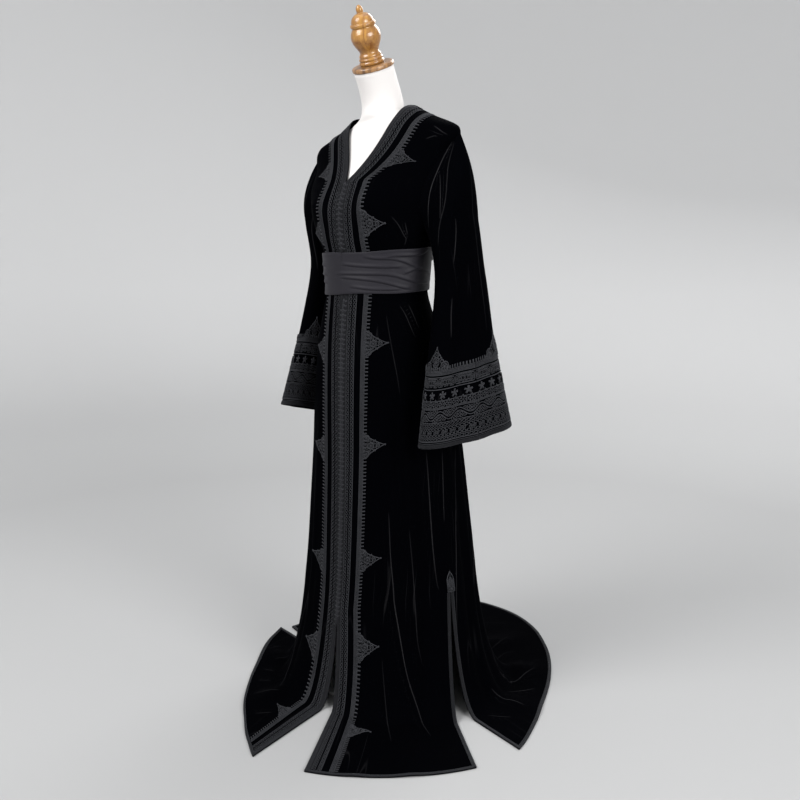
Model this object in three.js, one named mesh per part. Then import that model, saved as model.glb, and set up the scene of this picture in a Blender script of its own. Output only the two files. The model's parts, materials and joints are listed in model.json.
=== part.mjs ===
// A full-length velvet caftan worn on a limbless dress form, in millimetres.
// +Z is up, -Y is the front, +X is the wearer's left, and the origin lies on the floor under the pole.
import * as THREE from "three";

// ---- driving dimensions ----
const VELVET = 2; // thickness of the velvet wall
const SEAM = 0.35; // how far each edge is drawn back from its seam line
// Flat braid: height above the velvet, thickness, width on the front edges and on all other edges.
const BRAID = { lift: 0.3, thick: 1.3, front: 12, edge: 9 };
// Space from the outer face of the velvet to the form's skin, which grows between two heights.
const FORM_GAP = { body: 4.5, shoulder: 8, from: 1250, to: 1340 };
const UNDERARM = 1100;
const NECK_POINT = { z: 1392, x: 80 };
const SHOULDER_TIP = 1339;
const V_BOTTOM = 1232;
const NECK_BEND = { left: 0.75, right: 1.5 }; // how each side of the V curves on its way up
// The right shoulder hangs lower: most drop, where across the gown it starts and ends, the heights between which
// it grows, and how far the side moves in.
const DROOP = { most: 40, near: 110, wide: 320, low: 1100, high: 1310, inward: 17, reach: 150, narrow: 1215, full: 1300 };
const BELT = { top: 1068, bottom: 972, gap: 1.9, thick: 2.2, pleats: 5, pleat: 2.6, rise: 9 }; // it rises to the left
const OVER_BRAID = { out: 1, wide: 14 }; // the belt rises over the front braid (degrees)
const LAST_KNOT = 206; // the fronts part below this height
const KNOT = { pitch: 11, wide: 6.4, high: 4.6, cord: 2.6, lift: 0.55 };
const DROP = { front: 215, side: 300, back: 320, start: 30 }; // where the cloth turns outwards, and its slope there
const FALL = { of_height: 0.34, of_length: 0.55 }; // reach of the turn: shares of its height and of the way out
const FOLD_GROWTH = 420; // a skirt fold is full this far below its top
const TAB = { above: 36, below: 16, half: 11, lift: 0.9, thick: 2.5 }; // tab over the top of a side slit

// Rings of the gown: half width and what its left half has more, foremost and rearmost y, and the y of the widest point.
const BODY = [
  { z: 180, half: 249, left: 0, front: -141, back: 266, side: 62 },
  { z: 300, half: 228, left: 0, front: -128, back: 240, side: 57 },
  { z: 480, half: 209, left: 0, front: -119, back: 220, side: 51 },
  { z: 600, half: 196, left: 0, front: -115, back: 206, side: 47 },
  { z: 700, half: 185, left: 0, front: -114, back: 190, side: 39 },
  { z: 800, half: 169, left: 3, front: -112, back: 165, side: 28 },
  { z: 870, half: 151, left: 8, front: -109, back: 142, side: 14 },
  { z: 930, half: 130, left: 16, front: -104, back: 117, side: 3 },
  { z: 975, half: 117, left: 20, front: -100, back: 104, side: 0 },
  { z: 1020, half: 120, left: 22, front: -101, back: 103, side: -3 },
  { z: 1068, half: 126, left: 24, front: -104, back: 105, side: -3 },
  { z: 1100, half: 145, left: 18, front: -111, back: 106, side: 0 },
  { z: 1165, half: 167, left: 8, front: -112, back: 109, side: 8 },
  { z: 1224, half: 186, left: 0, front: -94, back: 108, side: 15 },
  { z: 1280, half: 200, left: 0, front: -69, back: 105, side: 25 },
  { z: 1339, half: 210, left: 0, front: -41, back: 98, side: 40 },
  { z: 1370, half: 132, left: 0, front: -23, back: 94, side: 42 },
  { z: 1392, half: 80, left: 0, front: -12, back: 90, side: 42 },
];
const BUST = { x: 84, z: 1175, out: 16, wide: 46, high: 48 };

// Soft flutes of the skirt: where they lie round it, where they begin, how deep and how wide (degrees).
const FOLDS = [
  { at: 27, top: 620, deep: 7, wide: 5 },
  { at: 44, top: 900, deep: 9, wide: 5 },
  { at: 58, top: 780, deep: 11, wide: 5 },
  { at: 96, top: 800, deep: 10, wide: 5 },
  { at: 112, top: 930, deep: 12, wide: 6 },
  { at: 131, top: 700, deep: 9, wide: 5 },
  { at: 150, top: 930, deep: 13, wide: 6 },
  { at: 172, top: 860, deep: 10, wide: 5 },
  { at: 193, top: 930, deep: 13, wide: 6 },
  { at: 214, top: 760, deep: 10, wide: 5 },
  { at: 236, top: 900, deep: 12, wide: 6 },
  { at: 256, top: 720, deep: 9, wide: 5 },
  { at: 304, top: 800, deep: 10, wide: 5 },
  { at: 322, top: 640, deep: 8, wide: 5 },
];

// Hem on the floor: along each panel, the bearing from the front and the distance from the pole.
const HEMS = {
  front_left: [
    { u: 0, bearing: 22, reach: 458 },
    { u: 0.5, bearing: 45, reach: 461 },
    { u: 1, bearing: 68, reach: 476 },
  ],
  back: [
    { u: 0, bearing: 83, reach: 472 },
    { u: 0.09, bearing: 98, reach: 438 },
    { u: 0.18, bearing: 115, reach: 424 },
    { u: 0.29, bearing: 135, reach: 447 },
    { u: 0.42, bearing: 155, reach: 500 },
    { u: 0.56, bearing: 180, reach: 582 },
    { u: 0.68, bearing: 200, reach: 572 },
    { u: 0.8, bearing: 222, reach: 500 },
    { u: 0.92, bearing: 244, reach: 428 },
    { u: 1, bearing: 256.5, reach: 408 },
  ],
  front_right: [
    { u: 0, bearing: 5.5, reach: 455 },
    { u: 0.12, bearing: -3, reach: 412 },
    { u: 0.28, bearing: -19, reach: 356 },
    { u: 0.5, bearing: -45, reach: 318 },
    { u: 0.7, bearing: -70, reach: 330 },
    { u: 0.92, bearing: -93, reach: 396 },
    { u: 1, bearing: -99.8, reach: 423 },
  ],
};
// Low ridges of the cloth on the floor: place along the panel, height, width, and where along the spread.
const RIDGES = {
  front_left: [
    { u: 0.3, high: 7, wide: 0.06 },
    { u: 0.62, high: 9, wide: 0.07 },
  ],
  back: [
    { u: 0.14, high: 9, wide: 0.03 },
    { u: 0.3, high: 12, wide: 0.035 },
    { u: 0.46, high: 10, wide: 0.03 },
    { u: 0.62, high: 12, wide: 0.035 },
    { u: 0.79, high: 9, wide: 0.03 },
  ],
  front_right: [
    { u: 0.35, high: 8, wide: 0.06 },
    { u: 0.75, high: 9, wide: 0.06 },
  ],
};

// Sections of a sleeve below its head: centre, half length along the sleeve's breadth, half depth,
// turn of the breadth from front-to-back, rise of the outer side, rise of the front end.
const SLEEVES = {
  left: [
    { z: 1128, x: 216, y: 19, broad: 61, narrow: 38, turn: 5, tilt: 62, slant: 0 },
    { z: 1015, x: 228, y: 32, broad: 68, narrow: 35, turn: 10, tilt: 12, slant: 0 },
    { z: 868, x: 239, y: 25, broad: 88, narrow: 41, turn: 14, tilt: 4, slant: -4 },
    { z: 663, x: 262, y: 12, broad: 123, narrow: 48, turn: 17.7, tilt: 0, slant: -14 },
  ],
  right: [
    { z: 1124, x: 196, y: 45, broad: 61, narrow: 38, turn: 5, tilt: 58, slant: 0 },
    { z: 1015, x: 200, y: 66, broad: 68, narrow: 35, turn: 10, tilt: 12, slant: 0 },
    { z: 866, x: 220, y: 57, broad: 88, narrow: 41, turn: 14, tilt: 4, slant: 10 },
    { z: 655, x: 256, y: 39, broad: 123, narrow: 48, turn: 17.7, tilt: 0, slant: 32 },
  ],
};
const SLEEVE_HEAD = { out: 12, until: 0.3, rise: 0.35 }; // rounding of the sleeve over the shoulder
const SLEEVE_FOLDS = [
  { at: 24, deep: 7, wide: 15 },
  { at: 338, deep: 6, wide: 14 },
  { at: 196, deep: 7, wide: 15 },
];

// The dress form above its shoulders: a leaning neck, and its share of the shoulders' droop.
const NECK = [
  { z: 1384, y: 31, half: 54, deep: 49, tilt: 2, droop: 1 },
  { z: 1401, y: 32, half: 49, deep: 47, tilt: 6, droop: 0.6 },
  { z: 1418, y: 27, half: 47, deep: 46, tilt: 11, droop: 0.25 },
  { z: 1441, y: 16.5, half: 46, deep: 45, tilt: 17, droop: 0 },
  { z: 1472, y: 2, half: 46, deep: 45, tilt: 21, droop: 0 },
];
const FORM = { bottom: 800, columns: 24, armplate: 176, pole: 13, base: 135, base_high: 14 };
const FORM_ROWS = [
  850, 900, 940, 975, 1000, 1025, 1050, 1072, 1087, 1100, 1114, 1135, 1165, 1200, 1235, 1270, 1305, 1330, 1346, 1360,
  1372,
];
const CAP = { radius: 48, thick: 11 };
const FINIAL = [
  { r: 0, h: 0 }, { r: 27.5, h: 0 }, { r: 28.5, h: 5 }, { r: 26, h: 8.5 }, { r: 27, h: 13 }, { r: 24.5, h: 17 },
  { r: 24.5, h: 22 }, { r: 21.5, h: 29 }, { r: 27.5, h: 40 }, { r: 32.5, h: 51 }, { r: 33.5, h: 62 }, { r: 30, h: 75 },
  { r: 26, h: 82 }, { r: 28.5, h: 87 }, { r: 25, h: 93 }, { r: 21, h: 102 }, { r: 14, h: 109 }, { r: 7.5, h: 111 },
  { r: 8, h: 118 }, { r: 0, h: 128 },
];

// How many cells each piece has.
const ROWS = { neckline: 6, chest: 4, drop: 5, floor: 3 };
const WAIST_ROWS = [1068, 1044, 1020, 996, 972]; // heights of the rows behind the belt
const SKIRT_ROWS = [0.07, 0.15, 0.26, 0.38, 0.51, 0.66, 0.82, 1]; // shares of the way down to the drop
const FRONT_CELLS = 9;
const BACK_CELLS = { shoulder: 6, neck: 8 };
const DENSE = 48; // samples a row is measured with

const deg = Math.PI / 180;
const V = (x, y, z) => new THREE.Vector3(x, y, z);

// ---- small helpers ----
// A smooth curve through a table's rows: the value of one column at a place in another.
function along(table, by, column, at) {
  const last = table.length - 1;
  const slope = (i) => {
    const [a, b] = [table[Math.max(i - 1, 0)], table[Math.min(i + 1, last)]];
    return (b[column] - a[column]) / (b[by] - a[by]);
  };
  if (at <= table[0][by]) return table[0][column] + slope(0) * (at - table[0][by]);
  if (at >= table[last][by]) return table[last][column] + slope(last) * (at - table[last][by]);
  const i = table.findIndex((row) => row[by] > at) - 1;
  const span = table[i + 1][by] - table[i][by];
  const t = (at - table[i][by]) / span;
  const [p, q] = [table[i][column], table[i + 1][column]];
  const [m, n] = [slope(i) * span, slope(i + 1) * span];
  return (2 * p - 2 * q + m + n) * t ** 3 + (3 * q - 3 * p - 2 * m - n) * t ** 2 + m * t + p;
}
const clamp = THREE.MathUtils.clamp;
const smooth = (t) => THREE.MathUtils.smoothstep(t, 0, 1);
const turnTo = (a, b) => ((((a - b + 180) % 360) + 360) % 360) - 180; // signed angle from b to a

function normalOf(surface, a, b, step = 0.01) {
  const across = surface(a, b + step).sub(surface(a, b - step));
  const down = surface(a + step, b).sub(surface(a - step, b));
  return down.cross(across).normalize();
}

// ---- the gown's surface ----
const skirtFolds = (z, angle) =>
  FOLDS.reduce((sum, f) => {
    const grown = clamp((f.top - z) / FOLD_GROWTH, 0, 1);
    return sum + f.deep * grown * Math.exp(-((turnTo(angle, f.at) / f.wide) ** 2));
  }, 0);

// The lower right shoulder.
function drooped(p) {
  const across = smooth((DROOP.near - p.x) / DROOP.wide);
  const drop = DROOP.most * across * smooth((p.z - DROOP.low) / (DROOP.high - DROOP.low));
  const inward = DROOP.inward * smooth(-p.x / DROOP.reach) * smooth((p.z - DROOP.narrow) / (DROOP.full - DROOP.narrow));
  return V(p.x + inward, p.y, p.z - drop);
}

// The gown's outer face by height and angle round it: 0 is the front centre, 90 the wearer's left side.
function gown(z, angle) {
  const [s, c] = [Math.sin(angle * deg), Math.cos(angle * deg)];
  const side = along(BODY, "z", "side", z);
  const depth = c > 0 ? side - along(BODY, "z", "front", z) : along(BODY, "z", "back", z) - side;
  const half = along(BODY, "z", "half", z) + (s > 0 ? along(BODY, "z", "left", z) : 0);
  const x = half * s;
  const fromBust = ((Math.abs(x) - BUST.x) / BUST.wide) ** 2 + ((z - BUST.z) / BUST.high) ** 2;
  const bust = c > 0 ? BUST.out * Math.exp(-fromBust) : 0;
  const fold = skirtFolds(z, angle);
  return drooped(V(x - fold * s, side - depth * c - bust * c + fold * c, z));
}
const gownNormal = (z, angle) => normalOf((a, b) => gown(-a, b), -z, angle);
const gownNode = (z, angle) => ({ p: gown(z, angle), n: gownNormal(z, angle) });
const offset = ({ p, n }, by) => p.clone().addScaledVector(n, by);

// Seam lines as [height, angle].
function neckline(t, side) {
  const z = V_BOTTOM + (NECK_POINT.z - V_BOTTOM) * t;
  const out = side === "left" ? Math.sin(t * 90 * deg) : t;
  const sine = (NECK_POINT.x * out ** NECK_BEND[side]) / along(BODY, "z", "half", z);
  return [z, Math.asin(Math.min(sine, 1)) / deg];
}
const armhole = (t) => [UNDERARM + (SHOULDER_TIP - UNDERARM) * t, 90 - 23 * Math.sin(Math.PI * t ** 0.8)];
const sideSeam = (z, right) => (right ? 82 : 76) + (right ? 8 : 14) * clamp((z - 300) / 700, 0, 1);

// A patch between four seam lines.
function patch(top, bottom, left, right, u, v) {
  return [0, 1].map((k) => {
    const edges = (1 - v) * top(u)[k] + v * bottom(u)[k] + (1 - u) * left(v)[k] + u * right(v)[k];
    const corners =
      (1 - u) * (1 - v) * top(0)[k] + u * (1 - v) * top(1)[k] + (1 - u) * v * bottom(0)[k] + u * v * bottom(1)[k];
    return edges - corners;
  });
}

// ---- panels: every row is a function of u across the panel ----
const UPPER = ROWS.neckline + ROWS.chest;

// Rows lie closer near the shoulder seam, where the cloth bends most.
const down = (row) => (row / UPPER) ** 1.5;

function frontEdge(v, side) {
  const row = v ** (1 / 1.5) * UPPER;
  if (row <= ROWS.neckline) return neckline(Math.cos((row / ROWS.neckline) * 90 * deg), side);
  return [V_BOTTOM - ((row - ROWS.neckline) / ROWS.chest) * (V_BOTTOM - UNDERARM), 0];
}

function frontUpper(side) {
  const sign = side === "left" ? 1 : -1;
  const top = (u) => [NECK_POINT.z + (SHOULDER_TIP - NECK_POINT.z) * u, 90];
  const bottom = (u) => [UNDERARM, 90 * u];
  return (row) => (u) => {
    const [z, angle] = patch(top, bottom, (v) => frontEdge(v, side), (v) => armhole(1 - v), u, down(row));
    return gownNode(z, sign * Math.min(angle, 90));
  };
}

function backUpper() {
  const share = BACK_CELLS.shoulder / (2 * BACK_CELLS.shoulder + BACK_CELLS.neck);
  const top = (u) => {
    const edge = Math.min(u, 1 - u);
    const height = SHOULDER_TIP + (NECK_POINT.z - SHOULDER_TIP) * Math.min(edge / share, 1);
    const inside = clamp((u - share) / (1 - 2 * share), 0, 1);
    return [height, 90 + 180 * inside];
  };
  const bottom = (u) => [UNDERARM, 90 + 180 * u];
  const left = (v) => [armhole(1 - v)[0], 180 - armhole(1 - v)[1]];
  const right = (v) => [armhole(1 - v)[0], 180 + armhole(1 - v)[1]];
  return (row) => (u) => gownNode(...patch(top, bottom, left, right, u, down(row)));
}

// The turn outwards and the spread on the floor. w runs 0 to 1 down the turn and 1 to 2 out to the hem.
function spread(name, angleAt, dropAt) {
  const hem = HEMS[name];
  return (w, u) => {
    const start = gown(dropAt(u), angleAt(u));
    const bearing = along(hem, "u", "bearing", u) * deg;
    const reach = along(hem, "u", "reach", u);
    const way = V(reach * Math.sin(bearing) - start.x, -reach * Math.cos(bearing) - start.y, 0);
    const length = way.length();
    const fall = Math.min(FALL.of_height * start.z, FALL.of_length * length);
    const [first, theta] = [DROP.start * deg, (DROP.start + (90 - DROP.start) * Math.min(w, 1)) * deg];
    const gone = (Math.cos(first) - Math.cos(theta)) / Math.cos(first);
    const sunk = (Math.sin(theta) - Math.sin(first)) / (1 - Math.sin(first));
    const out = fall * gone + (length - fall) * Math.max(w - 1, 0);
    const lying = clamp((w - 0.5) / 0.6, 0, 1) * clamp((2 - w) / 0.7, 0.25, 1);
    const ridge = RIDGES[name].reduce((sum, r) => sum + r.high * Math.exp(-(((u - r.u) / r.wide) ** 2)), 0);
    const height = VELVET + (start.z - VELVET) * (1 - sunk) + ridge * lying;
    return start.addScaledVector(way.normalize(), out).setZ(height);
  };
}

function lowerRows(name, angleAt, dropAt) {
  const rows = WAIST_ROWS.map((z) => (u) => gownNode(z, angleAt(u, z)));
  const waist = WAIST_ROWS.at(-1);
  for (const share of SKIRT_ROWS)
    rows.push((u) => {
      const z = waist + (dropAt(u) - waist) * share;
      return gownNode(z, angleAt(u, z));
    });
  const surface = spread(name, (u) => angleAt(u, dropAt(u)), dropAt);
  const node = (w) => (u) => {
    const n = normalOf((a, b) => surface(a, b), w, u, 0.004);
    return { p: surface(w, u), n: n.z < 0 || (w < 0.5 && n.dot(surface(w, u).setZ(0)) < 0) ? n.negate() : n };
  };
  for (let i = 1; i <= ROWS.drop; i++) rows.push(node(i / ROWS.drop));
  for (let i = 1; i <= ROWS.floor; i++) rows.push(node(1 + (0.97 * i) / ROWS.floor));
  rows.push(node(2));
  return rows;
}

// Places of a row's nodes: the length of the row in, distances from its start out.
const frontPlaces = (length) => {
  const bands = [0, BRAID.front, 36, 60, 78];
  const rest = length - BRAID.edge - bands.at(-1);
  const even = Array.from({ length: FRONT_CELLS }, (_, i) => bands.at(-1) + (rest * (i + 1)) / FRONT_CELLS);
  return [...bands, ...even, length];
};
const backPlaces = (length) => {
  const cells = 2 * BACK_CELLS.shoulder + BACK_CELLS.neck;
  const even = Array.from({ length: cells + 1 }, (_, i) => (length * i) / cells);
  return [0, BRAID.edge, ...even.slice(1, -1), length - BRAID.edge, length];
};

function placed(row, places) {
  const samples = Array.from({ length: DENSE + 1 }, (_, i) => row(i / DENSE).p);
  const run = [0];
  for (let i = 1; i <= DENSE; i++) run.push(run[i - 1] + samples[i].distanceTo(samples[i - 1]));
  return places(run[DENSE]).map((at) => {
    const i = clamp(run.findIndex((r) => r > at) - 1, 0, DENSE - 1);
    const k = run[DENSE] - at < 1e-6 ? 1 : (i + (at - run[i]) / (run[i + 1] - run[i])) / DENSE;
    return row(k);
  });
}

// Draws the border of a grid back from its seams.
function drawnBack(grid, by) {
  const pull = (node, inner) => node.p.addScaledVector(inner.p.clone().sub(node.p).normalize(), by);
  const [m, n] = [grid.length - 1, grid[0].length - 1];
  for (const row of grid) {
    pull(row[0], row[1]);
    pull(row[n], row[n - 1]);
  }
  for (let j = 0; j <= n; j++) {
    pull(grid[0][j], grid[1][j]);
    pull(grid[m][j], grid[m - 1][j]);
  }
  return grid;
}

// ---- closed solids ----
function solid(corners, faces) {
  const volumeOf = ([a, b, c]) => corners[a].dot(corners[b].clone().cross(corners[c]));
  const volume = faces.reduce((sum, face) => sum + volumeOf(face), 0);
  const index = faces.flatMap(([a, b, c]) => (volume < 0 ? [a, c, b] : [a, b, c]));
  const used = [...new Set(index)];
  const place = new Map(used.map((old, i) => [old, i]));
  const geometry = new THREE.BufferGeometry().setFromPoints(used.map((i) => corners[i]));
  geometry.setIndex(index.map((i) => place.get(i)));
  geometry.computeVertexNormals();
  return geometry;
}

// The kept cells of a grid as one wall, between two distances from its surface.
function wall(grid, low, high, keep = () => true, closed = false) {
  const [m, n] = [grid.length, grid[0].length];
  const raised = (by) => grid.flat().map((node) => offset(node, by)).map((p) => p.setZ(Math.max(p.z, 0)));
  const corners = [...raised(high), ...raised(low)];
  const below = m * n;
  const faces = [];
  const edges = new Map();
  for (let i = 0; i < m - 1; i++)
    for (let j = 0; j < (closed ? n : n - 1); j++) {
      if (!keep(i, j)) continue;
      const next = (j + 1) % n;
      const loop = [i * n + j, (i + 1) * n + j, (i + 1) * n + next, i * n + next];
      const [a, b, c, d] = loop;
      faces.push([a, b, c], [a, c, d]);
      faces.push([a + below, c + below, b + below], [a + below, d + below, c + below]);
      loop.forEach((p, k) => edges.set(`${p},${loop[(k + 1) % 4]}`, [p, loop[(k + 1) % 4]]));
    }
  for (const [p, q] of edges.values())
    if (!edges.has(`${q},${p}`)) faces.push([q, p, p + below], [q, p + below, q + below]);
  return solid(corners, faces);
}

// A stack of closed rings with flat or pointed ends.
function stack(rings) {
  const n = rings[0].length;
  const corners = rings.flat();
  const faces = [];
  for (let i = 0; i < rings.length - 1; i++)
    for (let j = 0; j < n; j++) {
      const [a, b] = [i * n + j, i * n + ((j + 1) % n)];
      faces.push([a, b, b + n], [a, b + n, a + n]);
    }
  for (const [base, flip] of [[0, true], [corners.length - n, false]])
    for (let j = base + 1; j < base + n - 1; j++) faces.push(flip ? [base, j + 1, j] : [base, j, j + 1]);
  return solid(corners, faces);
}

// ---- materials ----
function material(color, roughness, metalness = 0) {
  return new THREE.MeshStandardMaterial({ color, roughness, metalness });
}
const velvet = material(0x0b0b0d, 0.9);
const braid = material(0x2b2c31, 0.75);
const satin = material(0x303036, 0.5);
const jersey = material(0xe9e7e3, 0.8);
const oak = material(0x9a6a2c, 0.4);
const walnut = material(0x5b3a22, 0.5);
const steel = material(0x9b9c9e, 0.35, 1);

const caftan = new THREE.Group();
function add(name, geometry, finish, parent = caftan) {
  const mesh = new THREE.Mesh(geometry, finish);
  mesh.name = name;
  parent.add(mesh);
  return mesh;
}

// ---- fronts and back ----
function frontGrid(name, sign) {
  const right = sign < 0;
  const dropAt = (u) => DROP.front + (DROP.side - DROP.front) * Math.max(u, 0) ** 0.7;
  const angleAt = (u, z) => sign * u * sideSeam(z, right);
  const upper = frontUpper(right ? "right" : "left");
  const rows = Array.from({ length: UPPER + 1 }, (_, i) => upper(i));
  return [...rows, ...lowerRows(name, angleAt, dropAt)].map((row) => placed(row, frontPlaces));
}

function backGrid() {
  const dropAt = (u) => DROP.side + (DROP.back - DROP.side) * Math.sin(Math.PI * u);
  const angleAt = (u, z) => sideSeam(z, false) * (1 - u) + (360 - sideSeam(z, true)) * u;
  const upper = backUpper();
  const rows = Array.from({ length: UPPER + 1 }, (_, i) => upper(i));
  return [...rows, ...lowerRows("back", angleAt, dropAt)].map((row) => placed(row, backPlaces));
}

const grids = {
  front_left: frontGrid("front_left", 1),
  front_right: frontGrid("front_right", -1),
  back: backGrid(),
};
const copied = (grid) => grid.map((row) => row.map(({ p, n }) => ({ p: p.clone(), n })));
const seams = Object.fromEntries(Object.entries(grids).map(([name, grid]) => [name, copied(grid)]));
const HEM_ROW = grids.back.length - 2; // the last row of cells
const SLIT_ROW = UPPER + WAIST_ROWS.length + SKIRT_ROWS.length; // the first row below the slit's top
const [LIFT, TOP] = [BRAID.lift, BRAID.lift + BRAID.thick];

for (const [name, grid] of Object.entries(grids)) {
  drawnBack(grid, SEAM);
  add(name, wall(grid, -VELVET, 0), velvet);
}
for (const side of ["left", "right"]) {
  const grid = grids[`front_${side}`];
  const last = grid[0].length - 2;
  add(`front_braid_${side}`, wall(grid, LIFT, TOP, (i, j) => j === 0 && i < HEM_ROW), braid);
  const bound = (i, j) => (j > 0 && i === HEM_ROW) || (j === last && i >= SLIT_ROW);
  add(`hem_binding_front_${side}`, wall(grid, LIFT, TOP, bound), braid);
}
const backLast = grids.back[0].length - 2;
const backBound = (i, j) => i === HEM_ROW || (i >= SLIT_ROW && (j === 0 || j === backLast));
add("hem_binding_back", wall(grids.back, LIFT, TOP, backBound), braid);

// The neck braid goes on round the back neck, on the top row of the back panel.
const onNeck = (i, j) => i === 0 && j > BACK_CELLS.shoulder && j <= BACK_CELLS.shoulder + BACK_CELLS.neck;
add("neck_braid_back", wall(grids.back, LIFT, TOP, onNeck), braid);

// ---- sleeves ----
function sleeveGrid(side) {
  const sign = side === "left" ? 1 : -1;
  const front = seams[`front_${side}`];
  const back = seams.back;
  const [f, b] = [front[0].length - 1, side === "left" ? 0 : back[0].length - 1];
  const head = [];
  for (let i = 0; i <= UPPER; i++) head.push(front[i][f]);
  for (let i = UPPER - 1; i > 0; i--) head.push(back[i][b]);
  const columns = head.map((start, k) => {
    const psi = (k / head.length) * 360;
    const [s, c] = [Math.sin(psi * deg), Math.cos(psi * deg)];
    const foldOf = (d) => d.deep * Math.exp(-((turnTo(psi, d.at) / d.wide) ** 2));
    const fold = SLEEVE_FOLDS.reduce((sum, d) => sum + foldOf(d), 0);
    const points = SLEEVES[side].map((r, i) => {
      const narrow = r.narrow - (i > 0 ? fold * Math.min(i / 2, 1) * Math.abs(c) : 0);
      const out = V(Math.cos(r.turn * deg), -Math.sin(r.turn * deg), 0).multiplyScalar(narrow * c);
      const fore = V(-Math.sin(r.turn * deg), -Math.cos(r.turn * deg), 0).multiplyScalar(r.broad * s);
      const p = V(r.x, r.y, r.z + r.tilt * c + r.slant * s).add(out).add(fore);
      return p.setX(p.x * sign);
    });
    return { path: [start.p, ...points], lift: c > 0 ? SLEEVE_HEAD.out * c : 0 };
  });
  const at = (k, t) => {
    const { path, lift } = columns[(k + columns.length) % columns.length];
    const curve = new THREE.CatmullRomCurve3(path, false, "centripetal");
    const p = curve.getPoint(clamp(t, 0, 1));
    const round = lift * Math.sin(Math.PI * Math.min(t / SLEEVE_HEAD.until, 1));
    return p.add(V(sign * round, 0, round * SLEEVE_HEAD.rise));
  };
  const steps = [0, 0.07, 0.15, 0.25, 0.36, 0.48, 0.6, 0.71, 0.81, 0.9, 0.987, 1];
  return steps.map((t) =>
    columns.map((_, k) => {
      const p = at(k, t);
      const around = at(k + 1, t).sub(at(k - 1, t));
      const downwards = at(k, t + 0.01).sub(at(k, t - 0.01)).normalize();
      if (t === 0) p.addScaledVector(downwards, SEAM);
      return { p, n: around.cross(downwards).multiplyScalar(sign).normalize() };
    }),
  );
}
for (const side of ["left", "right"]) {
  const grid = sleeveGrid(side);
  const last = grid.length - 2;
  add(`sleeve_${side}`, wall(grid, -VELVET, 0, undefined, true), velvet);
  add(`cuff_binding_${side}`, wall(grid, LIFT, TOP, (i) => i === last, true), braid);
}

// ---- belt ----
function beltGrid() {
  const [columns, rows] = [36, 2 * BELT.pleats];
  return Array.from({ length: rows + 1 }, (_, i) => {
    const share = i / rows;
    return Array.from({ length: columns }, (_, j) => {
      const angle = (j / columns) * 360;
      const height = BELT.top + (BELT.bottom - BELT.top) * share + BELT.rise * Math.sin(angle * deg);
      const node = gownNode(height, angle);
      const overBraid = OVER_BRAID.out * Math.exp(-((turnTo(angle, 0) / OVER_BRAID.wide) ** 2));
      return { p: offset(node, BELT.gap + overBraid), n: node.n };
    });
  });
}
function beltSolid() {
  const grid = beltGrid();
  const [m, n] = [grid.length, grid[0].length];
  const inner = grid.map((row) => row.map(({ p }) => p));
  const outer = grid.map((row, i) =>
    row.map((node) => offset(node, BELT.thick + (i % 2 && i < m - 1 ? BELT.pleat : 0))),
  );
  const rings = [...outer, ...inner.reverse()];
  const corners = rings.flat();
  const faces = [];
  for (let i = 0; i < rings.length; i++)
    for (let j = 0; j < n; j++) {
      const below = (i + 1) % rings.length;
      const next = (j + 1) % n;
      faces.push([i * n + j, below * n + j, below * n + next]);
      faces.push([i * n + j, below * n + next, i * n + next]);
    }
  return solid(corners, faces);
}
add("belt", beltSolid(), satin);

// ---- knot buttons down the front, joined by their cord loops ----
function knotRow(fromZ, toZ) {
  const edge = seams.front_left.map((row) => offset(row[0], TOP + KNOT.lift));
  const at = (z) => {
    const i = edge.findIndex((p) => p.z < z) - 1;
    const t = (edge[i].z - z) / (edge[i].z - edge[i + 1].z);
    return edge[i].clone().lerp(edge[i + 1], t).setX(0);
  };
  const count = Math.floor((fromZ - toZ) / KNOT.pitch);
  const section = (z, wide, high) => {
    const p = at(z);
    return [V(-wide / 2, p.y, z), V(wide / 2, p.y, z), V(wide / 4, p.y - high, z), V(-wide / 4, p.y - high, z)];
  };
  const rings = [section(fromZ, KNOT.cord, KNOT.cord / 2)];
  for (let k = 0; k < count; k++) {
    const top = fromZ - KNOT.pitch * k;
    rings.push(section(top - KNOT.pitch / 2, KNOT.wide, KNOT.high));
    rings.push(section(top - KNOT.pitch, KNOT.cord, KNOT.cord / 2));
  }
  return stack(rings);
}
add("button_row_bodice", knotRow(gown(V_BOTTOM, 0).z - 3, BELT.top + 4), braid);
add("button_row_skirt", knotRow(BELT.bottom - 8, LAST_KNOT), braid);

// ---- tabs over the tops of the side slits ----
function slitTab(right) {
  const middle = right ? 360 - sideSeam(DROP.side, true) : sideSeam(DROP.side, false);
  const radius = along(BODY, "z", "half", DROP.side);
  const grid = Array.from({ length: 5 }, (_, i) => {
    const z = DROP.side + TAB.above - ((TAB.above + TAB.below) * i) / 4;
    const width = TAB.half * (i === 0 ? 0.35 : 1);
    return [-1, -0.33, 0.33, 1].map((k) => gownNode(z, middle + (k * width) / radius / deg));
  });
  return wall(grid, TOP + TAB.lift, TOP + TAB.lift + TAB.thick);
}
add("slit_tab_left", slitTab(false), braid);
add("slit_tab_right", slitTab(true), braid);

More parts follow.
